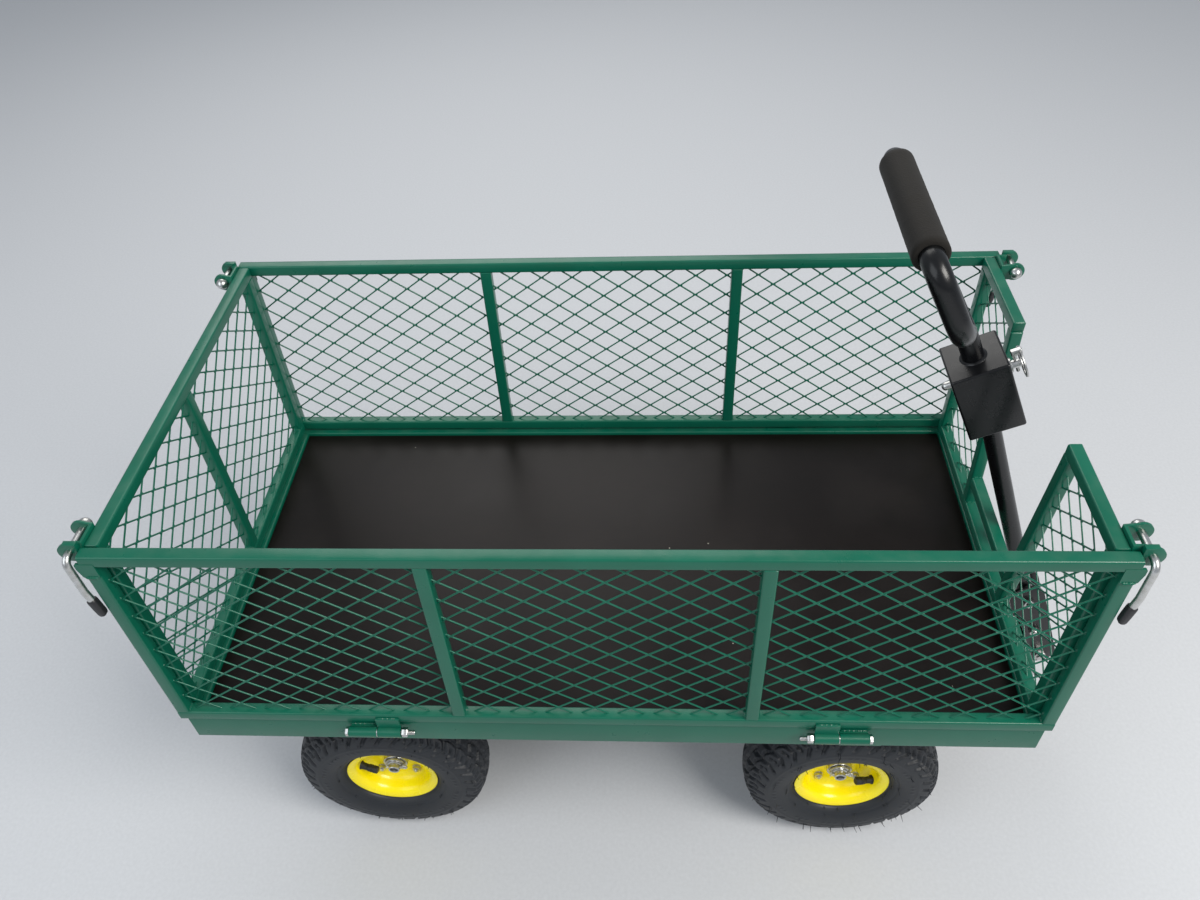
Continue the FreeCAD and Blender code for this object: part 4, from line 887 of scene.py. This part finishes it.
def smooth_profile(points, steps):
    """Catmull-Rom curve through (offset, radius) points."""
    curve = []
    for k in range(len(points) - 1):
        p0 = points[max(k - 1, 0)]
        p1, p2 = points[k], points[k + 1]
        p3 = points[min(k + 2, len(points) - 1)]
        for step in range(steps):
            t = step / steps
            curve.append(tuple(
                0.5 * (2 * b + (c - a) * t + (2 * a - 5 * b + 4 * c - d) * t * t
                       + (3 * b - a - 3 * c + d) * t ** 3)
                for a, b, c, d in zip(p0, p1, p2, p3)))
    curve.append(points[-1])
    return curve


def ramp(value, low, high):
    """0 below low, 1 above high, smooth between."""
    share = min(1.0, max(0.0, (value - low) / (high - low)))
    return share * share * (3.0 - 2.0 * share)


def groove(distance, width):
    """1 in the middle of a groove, 0 outside it."""
    return 1.0 - ramp(abs(distance), width * 0.32, width * 0.62)


def tread_cut(turn_share, across_mm):
    """How deeply the tread is cut, 0 to 1, at a place round and across the tyre."""
    reach = abs(across_mm)
    if reach > 56.0:
        return 0.0
    pitch_mm = TREAD_ROUND / TREAD_BLOCKS
    hand = 0.5 if across_mm > 0.0 else 0.0
    around = (turn_share * TREAD_BLOCKS + hand) * pitch_mm
    zigzag = abs((around / pitch_mm * 2.0) % 2.0 - 1.0) - 0.5
    cut = groove(reach - 8.0 - 3.6 * zigzag, 5.0)
    cut = max(cut, groove(reach - 24.0 - 3.4 * zigzag, 4.6))
    bend = 0.55 * reach if reach < 40.0 else 22.0 - 0.7 * (reach - 40.0)
    slant = (around + bend) % pitch_mm - pitch_mm / 2.0
    if reach > 9.0:
        cut = max(cut, groove(slant, 6.4) * ramp(reach, 9.0, 12.0))
    notch = (around + bend + pitch_mm / 2.0) % pitch_mm - pitch_mm / 2.0
    if 30.0 < reach < 46.0:
        cut = max(cut, 0.8 * groove(notch, 4.6) * ramp(reach, 30.0, 33.0) * (1.0 - ramp(reach, 42.0, 45.0)))
    return cut * (1.0 - ramp(reach, 51.0, 55.5))


def tyre_piece(corner):
    """Carcass with its moulded tread, sidewall rings and moulding hairs."""
    low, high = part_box(corner + "_tyre")
    centre = (low + high) / 2.0
    crown = (high.z - low.z) / 2.0 / MM
    half = (high.y - low.y) / 2.0 / MM
    flank = [(28.0, 61.8), (29.5, 64.5), (32.4, 66.2), (36.5, 70.5), (40.2, 77.5), (half - 0.3, 86.0),
             (half - 0.1, 95.0), (half - 1.2, 104.0), (half - 3.6, 112.5), (half - 7.8, 119.6),
             (half - 14.0, crown - 5.6), (half - 22.0, crown - 2.6), (half - 32.0, crown - 0.7), (0.0, crown)]
    curve = smooth_profile(flank, 6)
    outline = curve + [(-a, b) for a, b in reversed(curve[:-1])]
    lengths = [0.0]
    for first, second in zip(outline[:-1], outline[1:]):
        lengths.append(lengths[-1] + math.dist(first, second))
    crown_at = lengths[len(curve) - 1]
    bm = bmesh.new()
    rows = []
    for offset_k, (offset, radius) in enumerate(outline):
        across = lengths[offset_k] - crown_at
        before = outline[max(offset_k - 1, 0)]
        after = outline[min(offset_k + 1, len(outline) - 1)]
        tangent = Vector((after[0] - before[0], after[1] - before[1])).normalized()
        inward = Vector((tangent.y, -tangent.x))
        if inward.dot(Vector((offset, radius - 88.0))) > 0.0:
            inward = -inward
        ring_cut = 0.0
        if radius < 108.0:
            ring_cut = 0.6 * groove(radius - 73.0, 3.0) - 0.4 * groove(radius - 98.5, 2.6)
        dash = 0.5 * groove(radius - 90.5, 3.4) if radius < 108.0 else 0.0
        row = []
        for k in range(TYRE_STEPS):
            share = k / TYRE_STEPS
            raised = dash if k % 34 < 21 and k % 7 < 4 else 0.0
            depth = tread_cut(share, across) * TREAD_DEPTH / MM + ring_cut - raised
            angle = 2.0 * math.pi * share
            a = offset + inward.x * depth
            r = radius + inward.y * depth
            row.append(bm.verts.new(centre + Vector((math.cos(angle) * r, a, math.sin(angle) * r)) * MM))
        rows.append(row)
    for low_row, high_row in zip(rows[:-1], rows[1:]):
        for k in range(TYRE_STEPS):
            n = (k + 1) % TYRE_STEPS
            bm.faces.new((low_row[k], low_row[n], high_row[n], high_row[k]))
    inner = [(-28.0, 55.0), (-18.0, 54.0), (-18.0, 60.0), (18.0, 60.0), (18.0, 54.0), (28.0, 55.0)]
    previous = rows[-1]
    for offset, radius in inner:
        row = []
        for k in range(TYRE_STEPS):
            angle = 2.0 * math.pi * k / TYRE_STEPS
            row.append(bm.verts.new(centre + Vector((math.cos(angle) * radius, offset,
                                                     math.sin(angle) * radius)) * MM))
        for k in range(TYRE_STEPS):
            n = (k + 1) % TYRE_STEPS
            bm.faces.new((previous[k], previous[n], row[n], row[k]))
        previous = row
    for k in range(TYRE_STEPS):
        n = (k + 1) % TYRE_STEPS
        bm.faces.new((previous[k], previous[n], rows[0][n], rows[0][k]))
    moulding_hairs(bm, centre, half, crown, corner)
    finish_piece(bm, corner + "_tyre_casing", corner + "_wheel", RUBBER, (corner + "_tyre",), 50.0)


def moulding_hairs(bm, centre, half, crown, corner):
    """Thin rubber hairs left by the mould's vents, on both shoulders and flanks."""
    dice = random.Random("hairs " + corner)
    rows = [(half - 3.6, 112.5, 0.85), (half - 0.2, 92.0, 1.0), (half - 7.8, 119.6, 0.6), (38.0, 73.0, 0.9),
            (half - 1.2, 104.0, 0.95)]
    shortest, longest, thickness = (4.0, 9.0, 0.55) if corner.startswith("front") else (1.5, 3.4, 0.6)
    for k in range(HAIRS):
        offset, radius, lean = rows[k % len(rows)]
        side = 1 if (k // len(rows)) % 2 else -1
        angle = 2.0 * math.pi * (k * 0.37 + dice.uniform(-0.01, 0.01))
        radial = Vector((math.cos(angle), 0.0, math.sin(angle)))
        root = centre + (radial * radius + Y * (side * offset)) * MM
        way = (radial * (1.0 - 0.6 * lean) + Y * (side * lean)).normalized()
        bend = Vector((dice.uniform(-0.4, 0.4), dice.uniform(-0.2, 0.2), dice.uniform(-0.4, 0.4)))
        length = dice.uniform(shortest, longest) * MM
        tip = root + (way + bend).normalized() * length
        limit = (crown - 0.3) * MM
        radial_tip = Vector((tip.x - centre.x, 0.0, tip.z - centre.z))
        if radial_tip.length > limit:
            tip -= radial_tip.normalized() * (radial_tip.length - limit)
        pipe(bm, [root - way * 0.8 * MM, root.lerp(tip, 0.5), tip],
             lambda share: thickness * (1.0 - 0.5 * share) * MM, 5)
    if corner.startswith("front"):
        for k in range(RIM_HAIRS):
            angle = 2.0 * math.pi * (k * 0.37 + dice.uniform(-0.02, 0.02))
            radial = Vector((math.cos(angle), 0.0, math.sin(angle)))
            side = 1 if k % 2 else -1
            root = centre + (radial * 66.0 + Y * (side * 31.2)) * MM
            way = (Y * side - radial * dice.uniform(0.1, 0.7)).normalized()
            tip = root + way * dice.uniform(4.0, 8.0) * MM
            pipe(bm, [root - Y * side * 0.8 * MM, root.lerp(tip, 0.5), tip],
                 lambda share: 0.55 * (1.0 - 0.4 * share) * MM, 5)


def rim_piece(corner, side):
    """Two pressed halves with rolled lips, a stepped well and a dished web."""
    centre = middle(corner + "_rim")
    bm = bmesh.new()
    for way in (-1, 1):
        points = [(0.15, 17.1), (0.15, 30.0), (0.15, 40.0), (2.2, 43.5), (6.0, 47.0), (10.0, 49.2),
                  (15.0, 50.0), (22.0, 50.2), (25.4, 51.6), (26.9, 55.0), (27.3, 59.0), (28.2, 61.6),
                  (29.6, 62.4), (30.0, 61.8), (29.8, 60.4), (29.1, 57.6), (28.2, 54.6), (26.6, 51.9),
                  (24.0, 49.8), (20.0, 48.4), (14.0, 47.5), (9.0, 46.0), (5.5, 43.4), (3.2, 39.5),
                  (2.0, 34.0), (2.0, 28.0), (3.2, 25.4), (3.8, 22.0), (3.8, 17.1)]
        profile = [(way * a * MM, b * MM) for a, b in points]
        turned_loop(bm, centre, Y * side, profile, 128)
    finish_piece(bm, corner + "_rim_halves", corner + "_wheel", YELLOW, (corner + "_rim",), 60.0)


def rim_bolt_set(corner, side):
    """Four bolts with washers and nuts through the rim's web."""
    low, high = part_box(corner + "_rim_bolts")
    centre = middle(corner + "_rim")
    reach = ((high.x - low.x) + (high.z - low.z)) / 4.0 - 5.4 * MM
    out = Y * side
    bm = bmesh.new()
    for k in range(4):
        angle = math.radians(45.0 + 90.0 * k)
        at = centre + Vector((math.cos(angle), 0.0, math.sin(angle))) * (reach * math.sqrt(2.0))
        washer = [(0.0, 6.4 * MM), (1.0 * MM, 6.4 * MM), (1.2 * MM, 6.0 * MM)]
        turned(bm, at + out * 2.0 * MM, out, washer, 24)
        hexagon(bm, at + out * 3.1 * MM, out, 10 * MM, 4.6 * MM)
        thread(bm, at + out * 7.6 * MM, at + out * 9.6 * MM, 3.0 * MM)
        hexagon(bm, at - out * 2.1 * MM, -out, 10 * MM, 5.0 * MM)
    finish_piece(bm, corner + "_rim_fixings", corner + "_wheel", ZINC, (corner + "_rim_bolts",))


def hub_piece(corner, side):
    """Barrel with rolled ends, and a bearing with its races and seal in each end."""
    low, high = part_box(corner + "_hub")
    centre = middle(corner + "_rim")
    out = Y * side
    ends = sorted(((low.y - centre.y) * side, (high.y - centre.y) * side))
    bm = bmesh.new()
    barrel = [(ends[0], 14.4 * MM), (ends[0], 16.4 * MM), (ends[0] + 0.8 * MM, 17.0 * MM),
              (ends[1] - 0.8 * MM, 17.0 * MM), (ends[1], 16.4 * MM), (ends[1], 14.4 * MM)]
    turned_loop(bm, centre, out, barrel, 64)
    for end, way in ((ends[0], -1.0), (ends[1], 1.0)):
        race = [(end - way * 8.0 * MM, 8.05 * MM), (end, 8.05 * MM), (end, 10.2 * MM),
                (end - way * 0.7 * MM, 10.5 * MM), (end - way * 0.8 * MM, 12.4 * MM),
                (end, 12.8 * MM), (end, 14.3 * MM), (end - way * 8.0 * MM, 14.3 * MM)]
        turned_loop(bm, centre, out, race, 64)
    finish_piece(bm, corner + "_hub_and_bearings", corner + "_wheel", ZINC, (corner + "_hub",))


def valve_piece(corner, side):
    """Rubber valve that slants outwards, with a flared foot and a two-step cap, on the hidden air tube."""
    centre = middle(corner + "_rim")
    angle = ENDS_VALVE[corner.split("_")[0]]
    radial = Vector((math.cos(angle), 0.0, math.sin(angle)))
    root = centre + radial * (62 * MM) + Y * (side * 10 * MM)
    tip = centre + radial * (22 * MM) + Y * (side * 21.5 * MM)
    bm = bmesh.new()
    rings = []
    for k in range(96):
        turn = 2.0 * math.pi * k / 96
        out = Vector((math.cos(turn), 0.0, math.sin(turn)))
        rings.append(circle(centre + out * (90 * MM), out, Y, 28 * MM, 24))
    skin(bm, rings + [rings[0]], closed_ends=False)
    profile = [(0.0, 4.4), (13.0, 4.4), (14.0, 6.8), (15.6, 6.4), (17.5, 4.9), (26.0, 4.4), (26.3, 3.7),
               (27.0, 3.7), (27.2, 5.0), (32.5, 5.3), (33.2, 4.5), (34.0, 4.5), (34.7, 5.3), (40.4, 5.1),
               (41.4, 4.0)]
    turned(bm, root, tip - root, [(a * MM, b * MM) for a, b in profile], 28)
    finish_piece(bm, corner + "_air_tube_and_valve", corner + "_wheel", TUBE_RUBBER,
                 (corner + "_inner_tube",))


# ---------------------------------------------------------------- handle

pivot = joint_at("handle_tilt")
head_at = middle("hitch_head")
head_out = Vector(JOINTS["hitch_pin_pull"]["axis"]).normalized()
head_up = Vector(JOINTS["lynch_clip_pull"]["axis"]).normalized()


def on_head(out, across, up):
    """Point from distances in the head's own axes."""
    return head_at + head_out * out + Y * across + head_up * up


def handle():
    """Shaft, square head, hand loop and foam sleeve."""
    bm = bmesh.new()
    box_shape(bm, head_at, head_out, Y, head_up, HEAD_SIZE, 2.6 * MM, 4)
    neck_ring = [(0.0, LOOP_TUBE + 0.2 * MM), (0.0, LOOP_TUBE + 3.0 * MM), (0.8 * MM, LOOP_TUBE + 2.2 * MM),
                 (1.6 * MM, LOOP_TUBE + 0.2 * MM)]
    turned_loop(bm, on_head(0.0, 0.0, 47.4 * MM), head_up, neck_ring, 40)
    finish_piece(bm, "square_head", "handle", BLACK, ("hitch_head",))
    bm = bmesh.new()
    lean = (head_at - pivot).normalized()
    foot = pivot + lean * 42 * MM
    top = head_at - lean * 44 * MM
    pipe(bm, [foot, foot + lean * 1.0 * MM, foot.lerp(top, 0.5), top], SHAFT_RADIUS, 40)
    weld_ring = circle(head_at - lean * 48.5 * MM, *cross_frame(lean, X), SHAFT_RADIUS + 0.4 * MM, 40)
    pipe(bm, weld_ring + [weld_ring[0]], 1.7 * MM, 8)
    finish_piece(bm, "draw_shaft", "handle", BLACK, ("handle_shaft",))
    bm = bmesh.new()
    pipe(bm, [on_head(0.0, 0.0, 2 * MM), on_head(0.0, 0.0, 40 * MM), on_head(0.0, 0.0, LOOP_NECK)],
         LOOP_TUBE, 40)
    for side in (-1, 1):
        shoulder = on_head(-SHOULDER_SET_BACK, side * LOOP_HALF, LOOP_SHOULDER)
        corner = on_head(-LOOP_SET_BACK, side * LOOP_HALF * 0.98, LOOP_TOP)
        path = bent_path([on_head(0.0, -side * 4 * MM, LOOP_NECK - 5 * MM), shoulder, corner,
                          on_head(-LOOP_SET_BACK, 0.0, LOOP_TOP)], [46 * MM, 20 * MM], 14)
        pipe(bm, path, LOOP_TUBE, 40)
    finish_piece(bm, "hand_loop_tube", "handle", BLACK, ("hand_loop",))
    foam_sleeve()


def foam_sleeve():
    """Foam sleeve on the cross bar: soft ends, slightly uneven, with an open collar at each end."""
    low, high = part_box("foam_grip")
    half = (high.y - low.y) / 2.0
    dice = random.Random("foam")
    stations = [(-half, LOOP_TUBE + 0.4 * MM), (-half, FOAM_RADIUS - 3.2 * MM),
                (-half + 0.8 * MM, FOAM_RADIUS - 1.2 * MM), (-half + 2.6 * MM, FOAM_RADIUS - 0.2 * MM)]
    count = 30
    for k in range(1, count):
        y = -half + 2.6 * MM + (2.0 * half - 5.2 * MM) * k / count
        stations.append((y, FOAM_RADIUS - 0.1 * MM - dice.uniform(0.0, 0.25) * MM))
    stations += [(-y, r) for y, r in reversed(stations[:4])]
    bm = bmesh.new()
    turned_loop(bm, on_head(-LOOP_SET_BACK, 0.0, LOOP_TOP), Y, stations, 64)
    sleeve = finish_piece(bm, "foam_sleeve", "handle", FOAM, ("foam_grip",), 55.0)


def pin_and_clip():
    """Round-nosed pin with its collar, and the clip with its pull ring."""
    face = HEAD_SIZE[0] / 2.0
    nose = [(0.0, 0.5), (0.4, 2.2), (1.6, 3.9), (3.2, 4.8), (5.0, 5.0)]
    collar = [(9.9, 5.0), (10.5, 8.1), (11.0, 8.5), (13.0, 8.5), (13.5, 8.1), (13.6, 5.0), (22.2, 5.0),
              (23.0, 4.2)]
    profile = [(a * MM, b * MM) for a, b in nose]
    profile += [(2.0 * face + a * MM, b * MM) for a, b in collar]
    bm = bmesh.new()
    turned(bm, on_head(-face - 10 * MM, 0.0, PIN_LIFT), head_out, profile, 32)
    finish_piece(bm, "round_nosed_pin", "pin", ZINC, ("hitch_pin",))
    bm = bmesh.new()
    stem = face + 8.5 * MM
    turned(bm, on_head(stem, 0.0, PIN_LIFT - 12 * MM), head_up,
           [(0.0, 1.2 * MM), (0.8 * MM, 2.0 * MM), (26 * MM, 2.0 * MM)], 20)
    box_shape(bm, on_head(stem + 3.0 * MM, 0.0, PIN_LIFT + 16.5 * MM), head_out, Y, head_up,
              (12 * MM, 6 * MM, 7 * MM), 1.0 * MM, 3)
    ring = circle(on_head(stem + 6.5 * MM, 0.0, PIN_LIFT), Y, head_up, 17 * MM, 56)
    pipe(bm, ring + [ring[0]], 1.5 * MM, 12)
    finish_piece(bm, "lynch_clip_and_ring", "clip", ZINC, ("lynch_clip",))


# ---------------------------------------------------------------- running gear


def axle_piece(name, node, body):
    """Axle bar with a bored end, collar, washer and split pin at each side."""
    centre = middle(name + "_left_rim")
    axis = Vector((centre.x, 0.0, centre.z))
    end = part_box(node)[1].y
    bm = bmesh.new()
    profile = [(-end + 18 * MM, 0.3 * MM), (-end + 17.8 * MM, 5.4 * MM), (-end + 0.5 * MM, 5.5 * MM),
               (-end, 6.0 * MM), (-end, 7.4 * MM), (-end + 0.7 * MM, 8.0 * MM)]
    profile += [(-a, b) for a, b in reversed(profile)]
    turned(bm, axis, Y, profile, 40)
    for side in (-1, 1):
        hub_low, hub_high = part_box(name + ("_right" if side < 0 else "_left") + "_hub")
        outer = max(abs(hub_low.y), abs(hub_high.y)) + 0.6 * MM
        inner = min(abs(hub_low.y), abs(hub_high.y)) - 0.6 * MM
        turned(bm, axis + Y * (side * outer), Y * side,
               [(0.0, 13.7 * MM), (0.3 * MM, 14.0 * MM), (2.2 * MM, 14.0 * MM), (2.5 * MM, 13.7 * MM)], 40)
        turned(bm, axis + Y * (side * (outer + 2.5 * MM)), Y * side,
               [(0.0, 10.2 * MM), (0.2 * MM, 10.5 * MM), (1.2 * MM, 10.5 * MM), (1.4 * MM, 10.2 * MM)], 40)
        turned(bm, axis + Y * (side * inner), -Y * side,
               [(0.0, 11.2 * MM), (0.8 * MM, 12.0 * MM), (21 * MM, 12.0 * MM), (21.8 * MM, 11.4 * MM)], 40)
        split_pin(bm, axis + Y * (side * (outer + 5.5 * MM)))
    finish_piece(bm, name + "_axle_bar", body, ZINC, (node,))


def split_pin(bm, at):
    """Split pin: round eye on one side, two bent legs on the other."""
    reach = 12 * MM
    pipe(bm, [at - X * 10 * MM, at, at + X * reach], 1.6 * MM, 12)
    eye = circle(at + X * (reach + 2.0 * MM), X, Z, 3.2 * MM, 24)
    pipe(bm, eye + [eye[0]], 1.4 * MM, 10)
    for lean in (1.0, 0.35):
        leg = at - X * 9 * MM
        pipe(bm, [leg, leg - X * 2.0 * MM, leg - X * (3.5 * MM) - Z * (5.5 * lean * MM)], 1.0 * MM, 8)


# ---------------------------------------------------------------- assembly

for side_name, side in SIDES.items():
    side_panel(side_name, side)
    for end_name, end in ENDS.items():
        corner = end_name + "_" + side_name
        latch(end_name, end, side_name, side)
        tyre_piece(corner)
        rim_piece(corner, side)
        rim_bolt_set(corner, side)
        hub_piece(corner, side)
        valve_piece(corner, side)
rear_panel()
front_gate()
deck()
hinges()
handle()
pin_and_clip()
axle_piece("rear", "rear_axle_shaft", "chassis")
axle_piece("front", "front_axle_shaft", "steering")
for node, name in (
    ("rear_latch_brackets", "rear_latch_ears"),
    ("front_latch_brackets", "front_latch_ears"),
    ("rear_axle_support", "rear_axle_stand"),
    ("front_pivot_beam", "front_pivot_bearer"),
    ("steering_frame", "steering_stand"),
    ("tongue", "draw_tongue"),
    ("handle_bracket", "shaft_cheeks"),
    ("handle_bracket_bolts", "cheek_bolts"),
    ("tongue_pivot_bolt", "tongue_bolt"),
    ("kingpin", "steering_bolt"),
):
    eased(node, name)

for node, cad_object in frame["nodes"].items():
    cad_object.data.materials.clear()
    cad_object.data.materials.append(FINISH_OF_SLOT[SLOT_OF_NODE[node]])


# ---------------------------------------------------------------- stage, light and camera

FLOOR_REACH = 14.0
floor_mesh = bpy.data.meshes.new("studio_floor")
corners = [(x * FLOOR_REACH, y * FLOOR_REACH, 0.0) for x, y in ((-1, -1), (1, -1), (1, 1), (-1, 1))]
floor_mesh.from_pydata(corners, [], [(0, 1, 2, 3)])
floor = bpy.data.objects.new("studio_floor", floor_mesh)
bpy.context.scene.collection.objects.link(floor)
floor_mesh.materials.append(floor_paint())

world = bpy.data.worlds.new("soft_studio")
world.use_nodes = True
world.node_tree.nodes["Background"].inputs["Color"].default_value = (0.86, 0.92, 1.0, 1.0)
world.node_tree.nodes["Background"].inputs["Strength"].default_value = 0.45
bpy.context.scene.world = world


def soft_light(name, at, aim, size, power, colour):
    """Square soft box that faces a point."""
    data = bpy.data.lights.new(name, "AREA")
    data.size = size
    data.energy = power
    data.color = colour
    lamp = bpy.data.objects.new(name, data)
    lamp.location = at
    lamp.rotation_euler = (Vector(aim) - Vector(at)).to_track_quat("-Z", "Y").to_euler()
    bpy.context.scene.collection.objects.link(lamp)


soft_light("key_soft_box", (1.9, -1.4, 2.9), (0.0, 0.0, 0.4), 1.6, 105.0, (1.0, 0.97, 0.92))
soft_light("fill_soft_box", (-2.2, -1.6, 2.2), (0.0, 0.0, 0.3), 2.4, 30.0, (0.9, 0.95, 1.0))
soft_light("back_soft_box", (-0.6, 2.4, 2.6), (0.0, 0.0, 0.4), 2.2, 34.0, (1.0, 0.98, 0.95))

# The eye stands 1.35 m up beside the right-hand side, and looks down at 44 degrees with a slight tilt
LENS, SENSOR = 28.56, 36.0
EYE = Vector((61.6 * MM + frame_middle.x, -837.65 * MM, 1354.8 * MM))
YAW, PITCH, ROLL = math.radians(-4.745), math.radians(43.99), math.radians(-3.46)
forward = Vector((math.sin(YAW) * math.cos(PITCH), math.cos(YAW) * math.cos(PITCH), -math.sin(PITCH)))
level = Vector((math.cos(YAW), -math.sin(YAW), 0.0))
lift = level.cross(forward)
right = level * math.cos(ROLL) + lift * math.sin(ROLL)
up = lift * math.cos(ROLL) - level * math.sin(ROLL)
camera_data = bpy.data.cameras.new("camera")
camera_data.sensor_width = SENSOR
camera_data.lens = LENS
camera = bpy.data.objects.new("camera", camera_data)
camera.matrix_world = Matrix.Translation(EYE) @ Matrix((right, up, -forward)).transposed().to_4x4()
bpy.context.scene.collection.objects.link(camera)
bpy.context.scene.camera = camera
bpy.context.scene.view_settings.view_transform = "Standard"
